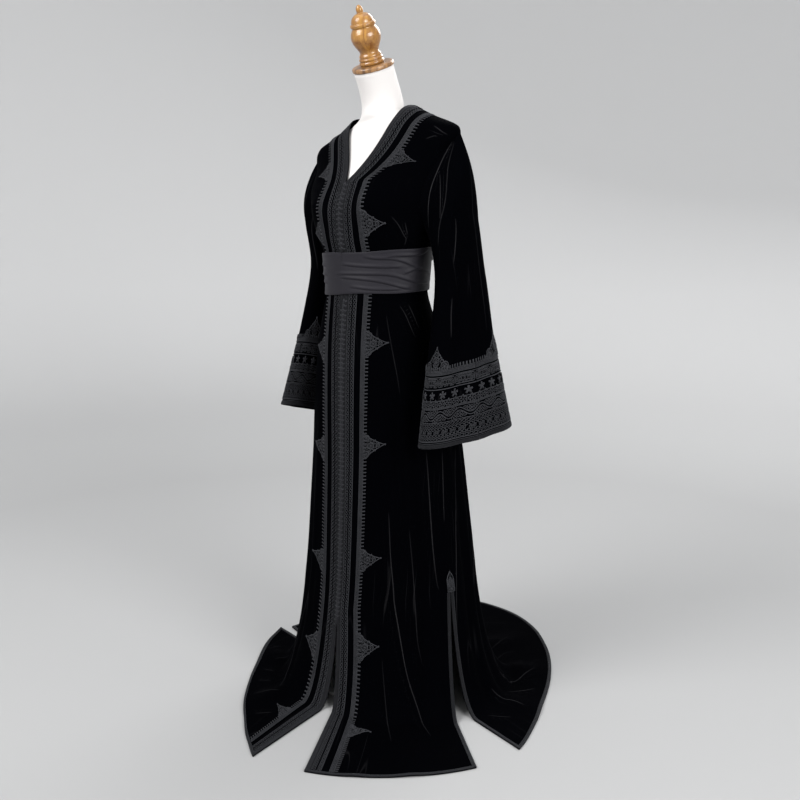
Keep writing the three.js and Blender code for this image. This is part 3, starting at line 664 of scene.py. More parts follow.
# %% Measured panels
class Cloth:
    """A panel as a grid of points, with the distances that embroidery is drawn by."""

    def __init__(self, grid, places, around=False):
        self.grid, self.around = grid, around
        self.normals = grid_normals(grid, around)
        self.places = places
        steps = np.linalg.norm(np.diff(grid, axis=0), axis=-1)
        self.down = np.concatenate([np.zeros((1, grid.shape[1])), np.cumsum(steps, 0)])
        self.up = self.down[-1] - self.down
        across = np.linalg.norm(np.diff(grid, axis=1), axis=-1)
        self.across = np.concatenate([np.zeros((grid.shape[0], 1)), np.cumsum(across, 1)], 1)

    def face_out(self, towards):
        """Turns the normals outwards, judged at one node by a direction that is known to be outward."""
        rows, columns = self.grid.shape[:2]
        if np.dot(self.normals[rows // 3, columns // 2], towards) < 0:
            self.normals = -self.normals
        return self

    def row_down(self, distance, column=0):
        """The row at a distance below the top edge."""
        return np.interp(distance, self.down[:, column], np.arange(len(self.grid)))

    def row_up(self, distance, column):
        """The row at a distance above the bottom edge."""
        return np.interp(-distance, -self.up[:, column], np.arange(len(self.grid)))

    def column_across(self, distance, row=-1):
        """The column at a distance from the first one."""
        return np.interp(distance, self.across[row], np.arange(self.grid.shape[1]))

    def at(self, i, j, lift=0.0):
        """The point at a fractional row and column, lifted off the cloth."""
        rows, columns = self.grid.shape[:2]
        i, j = np.asarray(i, float), np.asarray(j, float)
        a = np.clip(np.floor(i).astype(int), 0, rows - 2)
        fi = (i - a)[..., None]
        if self.around:
            b, n = np.floor(j).astype(int) % columns, (np.floor(j).astype(int) + 1) % columns
            fj = (j - np.floor(j))[..., None]
        else:
            b = np.clip(np.floor(j).astype(int), 0, columns - 2)
            n, fj = b + 1, (j - b)[..., None]

        def blend(field):
            low = field[a, b] * (1 - fj) + field[a, n] * fj
            return low * (1 - fi) + (field[a + 1, b] * (1 - fj) + field[a + 1, n] * fj) * fi

        placed = blend(self.grid) + unit(blend(self.normals)) * np.asarray(lift, float)[..., None]
        placed[..., 2] = np.maximum(placed[..., 2], 0)
        return placed


STEP, FINE = 3, 48  # the first columns of a front lie every 3 mm from its edge


def measured(name):
    grid, shares = [], np.linspace(0, 1, 61)
    for _, row in panel_rows(name):
        samples = row(shares)
        run = np.concatenate([[0], np.cumsum(np.linalg.norm(np.diff(samples, axis=0), axis=-1))])
        if name == "back":
            want = np.linspace(0, run[-1], 121)
        else:
            fine = STEP * np.arange(FINE)
            want = np.concatenate([fine, np.linspace(fine[-1], run[-1], 37)[1:]])
        grid.append(row(np.interp(want, run, shares)))
    places = np.array([place for place, _ in panel_rows(name)])
    outward = (0, 1, 0) if name == "back" else (0, -1, 0)
    return Cloth(np.array(grid), places).face_out(outward)


cloths = {name: measured(name) for name in ("front_left", "front_right", "back")}
for name, cloth in cloths.items():
    print(name, cloth.grid.shape[:2], round(cloth.across[-1, -1]), "mm of hem,", round(cloth.down[-1, 0]), "mm long")

# %% [markdown]
# ## Velvet shells
#
# Each panel becomes a closed shell two millimetres thick. Its soft folds come from the tables. Sharper creases are
# given as lines on the cloth: a low ridge or trough is raised along each one, and the distance to the nearest
# line is kept as an attribute, from which the velvet paints a thin pale line of painted sheen.

# %% Creases on the cloth
LINE_POINTS = 40  # how finely a line through a few points is drawn


def to_index(cloth, place, share):
    """Row and column of a place down a panel and a share of the way across it."""
    rows, columns = cloth.grid.shape[:2]
    i = np.interp(place, cloth.places, np.arange(rows))
    k = int(round(i))
    run = cloth.across[min(k, rows - 1)]
    return i, np.interp(share * run[-1], run, np.arange(columns))


def line_distance(points, normals, line):
    """Signed distance of points to a line of points, and how far along it (0 to 1) each one falls."""
    best = np.full(len(points), 1e9)
    sign, part = np.ones(len(points)), np.zeros(len(points))
    lengths = np.linalg.norm(np.diff(line, axis=0), axis=1)
    ends = np.concatenate([[0], np.cumsum(lengths)])
    for k, (a, b) in enumerate(zip(line, line[1:])):
        way = b - a
        t = np.clip(((points - a) @ way) / (way @ way), 0, 1)
        gap = points - (a + t[:, None] * way)
        d = np.linalg.norm(gap, axis=1)
        nearer = d < best
        best = np.where(nearer, d, best)
        part = np.where(nearer, (ends[k] + t * lengths[k]) / ends[-1], part)
        sign = np.where(nearer, np.where((np.cross(way, gap) * normals).sum(1) < 0, -1.0, 1.0), sign)
    return best * sign, part


def smooth_line(points):
    """A rounded line through a few points."""
    points = np.array(points, float)
    at = np.linspace(0, len(points) - 1, LINE_POINTS)
    rows = {"k": np.arange(len(points)), **{n: points[:, n] for n in range(points.shape[1])}}
    return np.stack([along(rows, "k", n, at) for n in range(points.shape[1])], -1)


CREASE_REACH, CREASE_WIDE = 15.0, 7  # how far a pressed line's attribute reaches, and half the line's own width


def creased(cloth, soft, pressed):
    """Raises the soft folds and pressed lines of a panel, and returns the values its velvet paints sheen lines from."""
    flat, normals = cloth.grid.reshape(-1, 3), cloth.normals.reshape(-1, 3)

    def distance(line):
        track = cloth.at(*np.array([to_index(cloth, *p) for p in smooth_line(line)]).T)
        return line_distance(flat, normals, track)

    lift = np.zeros(len(flat))
    way, near = np.full(len(flat), CREASE_REACH), np.zeros(len(flat))
    for line, high, wide in soft:
        d, part = distance(line)
        lift += high * np.exp(-((d / wide) ** 2)) * np.sin(np.pi * np.clip(part * 0.96 + 0.02, 0, 1)) ** 0.6
    for line, high, shine in pressed:
        d, part = distance(line)
        fade = np.sin(np.pi * part) ** 0.5
        lift += high * np.exp(-((d / CREASE_WIDE) ** 2)) * fade
        nearer = np.abs(d) < np.abs(way)
        way = np.where(nearer, np.clip(d, -CREASE_REACH, CREASE_REACH), way)
        # near sets how bright a painted sheen line the velvet draws beside this crease
        near = np.where(nearer, np.clip(1.6 - np.abs(d) / 10, 0, 1) * fade * shine, near)
    shape = cloth.grid.shape[:2]
    cloth.grid = cloth.grid + cloth.normals * lift.reshape(shape)[..., None]
    cloth.grid[..., 2] = np.maximum(cloth.grid[..., 2], VELVET)
    return way, near


def cut_size(cloth):
    """Width and length of the rectangle that a piece is cut from, and the piece's own area, in metres."""
    across = np.roll(cloth.grid, -1, axis=1) - cloth.grid
    girths = np.linalg.norm(across, axis=-1)
    if not cloth.around:
        across, girths = across[:, :-1], girths[:, :-1]
    down = np.diff(cloth.grid, axis=0)[:, :across.shape[1]]
    area = np.linalg.norm(np.cross(across[:-1], down), axis=-1).sum()
    return girths.sum(axis=1).max() * MM, cloth.down[-1].max() * MM, area * MM * MM


def shell(name, cloth, creases):
    """A cloth piece as a thin closed wall, with the attributes of its creases and the size it was cut to."""
    points, faces = walled(cloth.grid, cloth.normals, VELVET, cloth.around)
    metres = np.stack([cloth.across, cloth.down], -1).reshape(-1, 2) * MM
    piece = mesh_object(f"velvet_{name}", points, faces, velvet, np.concatenate([metres, metres]))
    for key, values in zip(("crease_way", "crease_near"), creases):
        stored = piece.data.attributes.new(key, "FLOAT", "POINT")
        stored.data.foreach_set("value", np.concatenate([values, values]))
    width, length, area = cut_size(cloth)
    print(f"cut {width:.3f} by {length:.3f} m, {area:.3f} square metres")
    return finished(piece, "velvet", name)

# %% [markdown]
# A crease is a few points of place (0 shoulder, 1 underarm, 2 turn, 3 floor, 4 hem) and share of the width.
# Soft ones are wide folds, each with its height and width. Pressed ones are thin lines, each with its height and
# how bright a painted sheen line the velvet draws along it.

# %% The creases of the panels
SOFT = {
    "front_left": [
        ([(1.45, 0.3), (1.8, 0.34), (2.6, 0.4)], 3.5, 14), ([(1.5, 0.62), (2.0, 0.6), (2.9, 0.66)], 4, 16),
    ],
    "front_right": [([(1.45, 0.35), (1.9, 0.4), (2.6, 0.42)], 3.5, 14), ([(1.6, 0.7), (2.2, 0.66)], 3, 14)],
    "back": [([(1.4, 0.12), (1.9, 0.13), (2.7, 0.16)], 4, 14), ([(1.5, 0.86), (2.1, 0.88)], 4, 14)],
}
PRESSED = {
    "front_left": [
        ([(1.74, 0.47), (1.87, 0.49), (1.98, 0.52), (2.33, 0.6), (2.68, 0.7), (3.21, 0.78)], 1.6, 1.0),
        ([(1.8, 0.65), (1.99, 0.69), (2.22, 0.71), (2.36, 0.75)], 1.0, 0.5),
        ([(1.59, 0.81), (1.74, 0.83), (1.86, 0.85), (1.97, 0.88), (2.0, 0.9)], 1.4, 0.9),
        ([(1.6, 0.97), (1.71, 0.96), (1.81, 0.96)], 1.2, 0.8), ([(1.18, 0.82), (1.21, 0.86), (1.25, 0.9)], 0.8, 0.7),
        ([(1.18, 0.71), (1.21, 0.77), (1.27, 0.83)], 0.8, 0.6), ([(0.86, 0.67), (0.92, 0.72), (1.02, 0.73)], 1.0, 0.7),
        ([(0.9, 0.8), (0.98, 0.77)], 0.8, 0.6), ([(0.22, 0.65), (0.24, 0.8), (0.24, 0.88)], 0.7, 0.7),
        ([(0.33, 0.67), (0.29, 0.75), (0.29, 0.79)], 0.6, 0.5), ([(1.2, 0.55), (1.3, 0.57), (1.42, 0.6)], 0.7, 0.4),
        ([(2.3, 0.42), (2.7, 0.46), (3.3, 0.5)], 0.9, 0.4),
    ],
    "back": [
        ([(1.61, 0.08), (1.8, 0.04), (1.94, 0.03), (2.25, 0.01)], 1.2, 0.9),
        ([(1.81, 0.19), (2.1, 0.24), (2.6, 0.3), (3.1, 0.38), (3.4, 0.38)], 1.4, 0.7),
        ([(2.71, 0.11), (2.99, 0.12), (3.53, 0.12)], 1.2, 0.9), ([(2.96, 0.17), (3.62, 0.2)], 1.0, 0.8),
        ([(2.99, 0.04), (3.42, 0.07)], 1.0, 0.6), ([(2.66, 0.21), (3.0, 0.23), (3.59, 0.28)], 1.0, 0.8),
        ([(2.41, 0.22), (2.71, 0.21), (3.01, 0.22)], 1.0, 0.6), ([(1.55, 0.3), (1.9, 0.31), (2.4, 0.33)], 1.2, 0.6),
        ([(1.6, 0.45), (2.1, 0.46), (2.8, 0.44)], 1.2, 0.6), ([(1.55, 0.62), (2.0, 0.6), (2.6, 0.63)], 1.2, 0.6),
        ([(1.6, 0.8), (2.1, 0.82), (2.5, 0.8)], 1.2, 0.6), ([(2.7, 0.55), (3.1, 0.56), (3.5, 0.53)], 1.0, 0.6),
        ([(2.75, 0.7), (3.3, 0.72)], 1.0, 0.6), ([(2.7, 0.88), (3.2, 0.9), (3.6, 0.88)], 1.0, 0.6),
        ([(3.0, 0.42), (3.5, 0.44)], 1.0, 0.5), ([(1.62, 0.92), (1.8, 0.95), (2.0, 0.96)], 1.2, 0.7),
        ([(0.7, 0.3), (0.95, 0.34)], 0.9, 0.5), ([(0.7, 0.72), (0.92, 0.68)], 0.9, 0.5),
        ([(1.18, 0.2), (1.28, 0.24)], 0.8, 0.5), ([(1.18, 0.75), (1.27, 0.72)], 0.8, 0.5),
    ],
    "front_right": [
        ([(3.12, 0.3), (3.4, 0.35), (3.75, 0.39)], 1.0, 0.8), ([(3.48, 0.18), (3.78, 0.24)], 0.8, 0.6),
        ([(2.36, 0.57), (2.58, 0.49), (2.79, 0.44), (3.04, 0.34)], 1.3, 0.7),
        ([(1.92, 0.45), (2.25, 0.52), (2.47, 0.5)], 1.0, 0.5), ([(1.6, 0.8), (1.9, 0.82), (2.3, 0.84)], 1.2, 0.6),
        ([(1.2, 0.75), (1.27, 0.82)], 0.8, 0.5), ([(0.88, 0.7), (1.0, 0.73)], 0.8, 0.5),
        ([(0.25, 0.65), (0.26, 0.85)], 0.7, 0.5), ([(2.8, 0.7), (3.3, 0.68)], 1.0, 0.5),
        ([(3.1, 0.55), (3.6, 0.6)], 0.9, 0.5), ([(3.3, 0.85), (3.7, 0.8)], 0.9, 0.5),
        ([(3.2, 0.45), (3.65, 0.5)], 0.8, 0.4),
    ],
}

for name, cloth in cloths.items():
    shell(name, cloth, creased(cloth, SOFT[name], PRESSED[name]))

# %% [markdown]
# ## Sleeves
#
# A sleeve is a tube that starts at the armhole seam and passes through four ovals. One curve for each column of
# the cloth runs through the ovals, and the head is rounded over the shoulder.

# %% Tables of the sleeves
SECTION = "z x y broad narrow turn tilt slant"
SLEEVES = {
    "left": table(SECTION, [
        (1128, 216, 19, 61, 38, 5, 62, 0), (1015, 228, 32, 68, 35, 10, 12, 0), (868, 239, 25, 88, 41, 14, 4, -4),
        (663, 262, 12, 123, 48, 17.7, 0, -14),
    ]),
    "right": table(SECTION, [
        (1124, 196, 45, 61, 38, 5, 58, 0), (1015, 200, 66, 68, 35, 10, 12, 0), (866, 220, 57, 88, 41, 14, 4, 10),
        (655, 256, 39, 123, 48, 17.7, 0, 32),
    ]),
}
HEAD_OUT, HEAD_UNTIL = 12, 0.3
SLEEVE_FOLDS = table("at deep wide", [(24, 7, 15), (338, 6, 14), (196, 7, 15)])
SLEEVE_COLUMNS, SLEEVE_ROWS = 160, 112


def curve_through(points, t):
    """The centripetal Catmull-Rom curve through points (k, n, 3), evaluated at shares t of its count of spans."""
    first, last = 2 * points[0] - points[1], 2 * points[-1] - points[-2]
    p = np.concatenate([[first], points, [last]])
    knots = np.sqrt(np.linalg.norm(np.diff(p, axis=0), axis=-1))[..., None]
    knots = np.maximum(knots, 1e-4)
    at = np.clip(t, 0, 1) * (len(points) - 1)
    k = np.minimum(at.astype(int), len(points) - 2)
    w = (at - k)[:, None, None]
    p0, p1, p2, p3 = p[k], p[k + 1], p[k + 2], p[k + 3]
    d0, d1, d2 = knots[k], knots[k + 1], knots[k + 2]
    m1 = ((p1 - p0) / d0 - (p2 - p0) / (d0 + d1) + (p2 - p1) / d1) * d1
    m2 = ((p2 - p1) / d1 - (p3 - p1) / (d1 + d2) + (p3 - p2) / d2) * d1
    return (2 * p1 - 2 * p2 + m1 + m2) * w**3 + (3 * p2 - 3 * p1 - 2 * m1 - m2) * w**2 + m1 * w + p1


def armhole_seam(side, psi):
    """Points of the armhole seam by the angle round the sleeve: 0 the shoulder tip, 90 the front."""
    front = np.array([upper_row(f"front_{side}", min(a, 180) / 180)(np.array([1.0]))[0] for a in psi])
    end = np.array([0.0 if side == "left" else 1.0])
    back = np.array([upper_row("back", (360 - max(a, 180)) / 180)(end)[0] for a in psi])
    return np.where((psi <= 180)[:, None], front, back)


def sleeve_cloth(side):
    """A sleeve's cloth as a grid that closes round the arm."""
    sign = 1 if side == "left" else -1
    psi = np.arange(SLEEVE_COLUMNS) / SLEEVE_COLUMNS * 360
    s, c = np.sin(np.radians(psi)), np.cos(np.radians(psi))
    fold = sum(deep * np.exp(-((turn_to(psi, at) / wide) ** 2)) for at, deep, wide in zip(*SLEEVE_FOLDS.values()))
    stops = [armhole_seam(side, psi)]
    rows = zip(*SLEEVES[side].values())
    for i, (z, x, y, broad, narrow, turn, tilt, slant) in enumerate(rows):
        depth = narrow - (fold * min(i / 2, 1) * np.abs(c) if i else 0)
        turn = math.radians(turn)
        px = x + math.cos(turn) * depth * c - math.sin(turn) * broad * s
        py = y - math.sin(turn) * depth * c - math.cos(turn) * broad * s
        stops.append(np.stack([sign * px, py, z + tilt * c + slant * s], -1))
    t = np.linspace(0, 1, SLEEVE_ROWS)
    grid = curve_through(np.array(stops), t)
    lift = HEAD_OUT * np.maximum(c, 0) * np.sin(np.pi * np.minimum(t / HEAD_UNTIL, 1))[:, None]
    grid = grid + np.stack([sign * lift, 0 * lift, 0.35 * lift], -1)
    cloth = Cloth(grid, t, around=True)
    centre = grid[SLEEVE_ROWS // 3].mean(axis=0)
    cloth.face_out(grid[SLEEVE_ROWS // 3, SLEEVE_COLUMNS // 2] - centre)
    cloth.girth = np.linalg.norm(np.diff(grid[-1], axis=0), axis=1).sum()
    return cloth


SLEEVE_SOFT = [([(0.12, 0.1), (0.5, 0.14), (0.75, 0.13)], 3, 12), ([(0.2, 0.3), (0.5, 0.27), (0.72, 0.25)], 3, 12)]
SLEEVE_PRESSED = {
    "left": [
        ([(0.0, 0.07), (0.05, 0.19), (0.09, 0.26), (0.15, 0.31), (0.2, 0.335)], 1.4, 1.2),
        ([(0.01, 0.06), (0.09, 0.12), (0.22, 0.16), (0.28, 0.2), (0.36, 0.23)], 1.0, 0.6),
        ([(0.07, 0.17), (0.17, 0.19), (0.26, 0.2)], 0.8, 0.8), ([(0.31, 0.09), (0.36, 0.1), (0.46, 0.14)], 1.0, 0.9),
        ([(0.58, 0.15), (0.64, 0.15), (0.72, 0.14)], 0.9, 0.7),
        ([(0.12, 0.99), (0.23, 0.985), (0.39, 0.94), (0.6, 0.9), (0.72, 0.89)], 0.9, 0.4),
        ([(0.1, 0.6), (0.3, 0.62), (0.5, 0.66)], 0.9, 0.5), ([(0.15, 0.75), (0.4, 0.78), (0.7, 0.8)], 0.9, 0.5),
    ],
    "right": [
        ([(0.02, 0.1), (0.2, 0.16), (0.42, 0.2)], 1.0, 0.6), ([(0.1, 0.3), (0.3, 0.28), (0.5, 0.27)], 1.0, 0.7),
        ([(0.5, 0.12), (0.7, 0.14)], 0.9, 0.5), ([(0.3, 0.42), (0.45, 0.4)], 0.8, 0.5),
        ([(0.1, 0.6), (0.35, 0.64), (0.6, 0.68)], 0.9, 0.5), ([(0.2, 0.8), (0.5, 0.82)], 0.9, 0.5),
    ],
}

for side in ("left", "right"):
    cloth = sleeve_cloth(side)
    cloths[f"sleeve_{side}"] = cloth
    shell(f"sleeve_{side}", cloth, creased(cloth, SLEEVE_SOFT, SLEEVE_PRESSED[side]))

# %% [markdown]
# ## The form
#
# The torso is the gown's own surface drawn in by the space under the cloth, so the velvet fits it. Above the
# shoulders tilted ovals make the leaning neck, and one smooth curve through all rings joins the two.

# %% Torso and neck
NECK = [
    (1384, 31, 54, 49, 2, 1), (1401, 32, 49, 47, 6, 0.6), (1418, 27, 47, 46, 11, 0.25), (1441, 16.5, 46, 45, 17, 0),
    (1472, 2, 46, 45, 21, 0),
]
TORSO = [
    800, 850, 900, 940, 975, 1000, 1025, 1050, 1072, 1087, 1100, 1114, 1135, 1165, 1200, 1235, 1270, 1305, 1330,
    1346, 1360, 1372,
]
ARMPLATE = 176


def torso_rings(angles):
    """Rings of the torso under the gown, and above them the neck's own ovals."""
    rings = []
    for z in TORSO:
        gap = np.interp(z, [1250, 1340], [4.5, 8])
        ring = gown(z, angles) - gown_normal(z, angles) * gap
        ring[:, 0] = np.clip(ring[:, 0], -ARMPLATE, ARMPLATE)
        rings.append(ring)
    s, c = np.sin(np.radians(angles)), np.cos(np.radians(angles))
    for z, y, half, deep, tilt, droop in NECK:
        tilt = math.radians(tilt)
        ring = np.stack([half * s, y - deep * c * math.cos(tilt), z - deep * c * math.sin(tilt)], -1)
        rings.append(ring + (drooped(ring) - ring) * droop)
    return np.array(rings)


angles = np.arange(0, 360, 3.0)
rings = torso_rings(angles)
skin = curve_through(rings, np.linspace(0, 1, 4 * (len(rings) - 1) + 1))
torso = mesh_object("form_torso_cover", *tubed(skin.transpose(1, 0, 2)), cover)
finished(torso, "form_cover", "form_torso")

# %% [markdown]
# ## Cap and finial
#
# Turned wood is a lathe shape: a profile of radius and height is spun round the neck's axis.

# %% Cap and finial
LATHE_STEPS = 64


def turned(name, profile, material, base, tilt):
    """Spins a profile of (radius, height) round an axis that leans forward."""
    profile = np.array(profile, float)
    around = np.radians(np.arange(LATHE_STEPS) / LATHE_STEPS * 360)
    r, h = profile[:, :1], np.repeat(profile[:, 1:], LATHE_STEPS, 1)
    x, y = r * np.cos(around), r * np.sin(around)
    lean = math.radians(tilt)
    points = np.stack([x, y * math.cos(lean) - h * math.sin(lean), h * math.cos(lean) + y * math.sin(lean)], -1)
    points = points + np.array(base)
    return mesh_object(name, *tubed(points.transpose(1, 0, 2)), material)


def rounded(corners, radius, steps=4):
    """A profile with its inner corners rounded."""
    corners = [np.array(c, float) for c in corners]
    out = [corners[0]]
    for a, b, c in zip(corners, corners[1:], corners[2:]):
        first, last = unit(a - b), unit(c - b)
        cut = min(radius, 0.45 * np.linalg.norm(a - b), 0.45 * np.linalg.norm(c - b))
        for t in np.linspace(0, 1, steps):
            p, q = b + first * cut * (1 - t), b + last * cut * t
            out.append(p * (1 - t) + q * t)
    out.append(corners[-1])
    return out


NECK_TOP = np.array([0, NECK[-1][1], NECK[-1][0]])
LEAN = NECK[-1][4]
axis = np.array([0, -math.sin(math.radians(LEAN)), math.cos(math.radians(LEAN))])
CAP_PROFILE = [(0.3, 0), (46, 0), (48, 1.6), (48, 7.6), (46, 10), (42, 11), (0.3, 11)]
cap = turned("neck_cap", rounded(CAP_PROFILE, 2), walnut, NECK_TOP + axis * 0.3, LEAN)
finished(cap, "walnut", "form_cap")
FINIAL = [
    (0.3, 0), (27, 0), (28.5, 2.2), (28.5, 5.6), (26.2, 8), (26.2, 9.2), (27.4, 11), (27.4, 13.4), (25, 15.4),
    (25, 16.4), (25.4, 19), (24.2, 22), (22.2, 24.5), (21.6, 27.5), (22.6, 31.5), (25.4, 36.5), (28.8, 42.5),
    (31.8, 49.5), (33.4, 56.5), (33.6, 63), (32, 69.5), (29, 75.5), (26.2, 80), (26.2, 81.4), (28.7, 83.4),
    (28.9, 88.4), (26.4, 90.6), (25.4, 91), (25.4, 93), (24.4, 96.5), (22.4, 101), (18.6, 105.4), (13.6, 108.6),
    (9, 110.2), (7.2, 111.2), (7.6, 113), (8, 117), (7.2, 121.5), (5, 125.4), (2.4, 127.6), (0.3, 128),
]
finial = turned("neck_finial", rounded(FINIAL, 1.0, 3), oak, NECK_TOP + axis * 11.6, LEAN)
finished(finial, "oak", "form_finial")
for name in ("form_pole", "form_base"):
    frame["nodes"][name].data.materials.clear()
    frame["nodes"][name].data.materials.append(metal)

# %% [markdown]
# ## The belt
#
# A wide satin ribbon is wound round the waist and falls into slanting pleats. Each pleat is a line of angle and
# share of the height: the ribbon bulges above it, drops sharply into the fold and rises slowly below, and the
# pleat fades at its ends.

# %% The belt
BELT_COLUMNS, BELT_ROWS, BELT_GAP = 300, 84, 1.9
RIBBON_THICK, FOLD_DEEP, FOLD_HIGH, FOLD_FADE = 3.0, 1.7, 1.6, 12
GIRTH_ROW, RIBBON_UV = 30, 0.1  # the row whose length is the girth, and the metres across one face in its map
PLEATS = [
    [(19, 0.1), (31, 0.19), (57, 0.27), (90, 0.54), (113, 0.62)], [(41, 0.17), (82, 0.17), (97, 0.05)],
    [(61, 0.6), (78, 0.5), (90, 0.5)], [(-13, 0.53), (25, 0.56), (51, 0.61), (82, 0.8), (113, 0.85)],
    [(-7, 0.6), (37, 0.74), (65, 0.9), (78, 0.95)], [(5, 0.84), (30, 0.92), (65, 0.93)],
    [(-60, 0.3), (-31, 0.36)], [(-66, 0.52), (-28, 0.57)], [(-60, 0.7), (-30, 0.76)],
    [(-4, 0.3), (34, 0.4), (64, 0.43)],
    [(104, 0.25), (150, 0.35), (205, 0.3), (250, 0.2)], [(125, 0.62), (180, 0.5), (230, 0.55), (300, 0.48)],
    [(118, 0.8), (170, 0.76), (220, 0.84), (285, 0.8)], [(240, 0.36), (290, 0.22)], [(200, 0.66), (262, 0.68)],
]


def pleat(angles, shares, line):
    """How much one pleat adds to the ribbon's thickness, for every share and angle."""
    at, share = smooth_line(line).T
    turned_on = at[0] + (angles - at[0]) % 360
    fade = smooth(np.minimum(turned_on - at[0], at[-1] - turned_on) / FOLD_FADE)
    below = shares[:, None] - np.interp(turned_on, at, share)
    sunk = np.where(below > 0, np.exp(-np.maximum(below, 0) / 0.045), np.exp(-((below / 0.011) ** 2)))
    return (FOLD_HIGH * np.exp(-(((below + 0.045) / 0.04) ** 2)) - FOLD_DEEP * sunk) * fade


def belt_piece():
    """The ribbon: an outer face with its pleats and a plain inner one, closed into a ring."""
    angles = np.arange(BELT_COLUMNS) / BELT_COLUMNS * 360
    shares = np.linspace(0, 1, BELT_ROWS)
    turn, down = np.radians(angles), shares[:, None]
    z = BELT_TOP + (BELT_BOTTOM - BELT_TOP) * down + 9 * np.sin(turn)
    uneven = 1.6 * np.sin(3 * turn + 1) + 1.2 * np.sin(5 * turn)
    z = z + uneven * (2 * down - 1) * 0.6
    crown = 4 * np.exp(-((turn_to(angles, 94) / 14) ** 2)) - 3 * np.exp(-((turn_to(angles, 118) / 12) ** 2))
    z = z + crown * (1 - down) ** 2
    inner = gown(z, angles[None, :] + 0 * z)
    normals = gown_normal(z, angles[None, :] + 0 * z)
    over_braid = np.exp(-((turn_to(angles, 0) / 14) ** 2))
    inner = inner + normals * (BELT_GAP + over_braid)[None, :, None]
    thick = RIBBON_THICK + sum(pleat(angles, shares, line) for line in PLEATS)
    outer = inner + normals * np.clip(thick, 1.2, 5.6)[..., None]
    rounding = np.exp(-((shares / 0.02) ** 2)) + np.exp(-(((1 - shares) / 0.02) ** 2))
    outer = outer - normals * (rounding[:, None] * 0.9)[..., None]
    points, faces = ringed(np.concatenate([outer, inner[::-1]]))
    girth = np.linalg.norm(np.diff(outer[GIRTH_ROW], axis=0), axis=1).sum()
    metres = np.meshgrid(angles / 360 * girth * MM, np.concatenate([shares, 1 + shares]) * RIBBON_UV)
    piece = mesh_object("waist_belt", points, faces, satin, np.stack(metres, -1).reshape(-1, 2))
    return finished(piece, "satin", "belt")


belt_piece()

# %% [markdown]
# ## Flat braid
#
# The braid is a strip that follows an edge of the cloth. It is drawn as a low arch, a little over a millimetre
# thick, on the cloth's own rows and columns, so it can't leave the surface. All strips of one binding are joined.

# %% Strips along the cloth
ACROSS = np.linspace(0, 1, 9)
BRAID_LIFT, BRAID_THICK = 0.3, 1.3


def strip_lines(cloth, place, runs, raised=0.0):
    """The lines of a strip, out over its arched face and back underneath."""
    arch = BRAID_LIFT + raised + BRAID_THICK * (1 - 0.55 * np.abs(2 * ACROSS - 1) ** 5)
    lines = [(share, lift) for share, lift in zip(ACROSS, arch)] + [(share, 0.1) for share in ACROSS[::-1]]
    return np.array([cloth.at(*place(runs, share), np.full(len(runs), lift)) for share, lift in lines])


def strip_uv(runs, wide):
    x = np.concatenate([ACROSS, ACROSS[::-1]]) * wide
    return np.stack(np.meshgrid(x, runs), -1).reshape(-1, 2) * MM


def strip(cloth, place, runs, wide, raised=0.0):
    """A strip of braid: place(run, across) gives row and column, runs are distances along it in millimetres."""
    return *tubed(strip_lines(cloth, place, runs, raised)), strip_uv(runs, wide)


def braid_piece(name, strips, node):
    points, faces = joined([(p, f) for p, f, _ in strips])
    piece = mesh_object(name, points, faces, braid, np.concatenate([uv for *_, uv in strips]))
    return finished(piece, "braid", node)


def down_the_front(cloth, wide):
    """Places of a strip that lies along a front's first column."""

    def place(run, share):
        return cloth.row_down(run), np.full(len(run), share * wide / STEP)

    return place


def up_from(cloth, columns_of, rise):
    """Places of a strip that lies along the hem; columns_of turns the run into columns."""

    def place(run, share):
        j = columns_of(run)
        low = np.clip(np.floor(j).astype(int), 0, cloth.grid.shape[1] - 1)
        return np.array([cloth.row_up(share * rise, k) for k in low]), j

    return place


def down_the_side(cloth, wide, start_row, last):
    """Places of a strip along the first or last column, from a row on."""
    column = -1 if last else 0
    base = cloth.down[start_row, column]

    def place(run, share):
        i = cloth.row_down(base + run, column)
        near = np.clip(np.round(i).astype(int), 0, len(cloth.grid) - 1)
        out = share * wide
        return i, np.array([cloth.column_across(cloth.across[r, -1] - out if last else out, r) for r in near])

    return place


def steps_to(length, step=4.0):
    """Even steps from nothing to a length, none longer than the given one."""
    return np.linspace(0, length, int(length / step) + 2)


FRONT_BRAID, EDGE_BRAID = 12, 9
for side in ("left", "right"):
    cloth = cloths[f"front_{side}"]
    front = strip(cloth, down_the_front(cloth, FRONT_BRAID), steps_to(cloth.down[-1, 0]), FRONT_BRAID)
    braid_piece(f"braid_front_{side}", [front], f"front_braid_{side}")

# %% Bindings of hem, slits and cuffs
SLIT_TOP = 300


def hem_strip(cloth):
    """The binding along the last row of a panel."""
    return strip(cloth, up_from(cloth, cloth.column_across, EDGE_BRAID), steps_to(cloth.across[-1, -1]), EDGE_BRAID)


def slit_strip(cloth, last):
    """The binding of one side of a slit, from its top to the hem."""
    column = -1 if last else 0
    start = int(np.argmax(cloth.grid[:, column, 2] < SLIT_TOP))
    length = cloth.down[-1, column] - cloth.down[start, column]
    return strip(cloth, down_the_side(cloth, EDGE_BRAID, start, last), steps_to(length), EDGE_BRAID, 0.15)


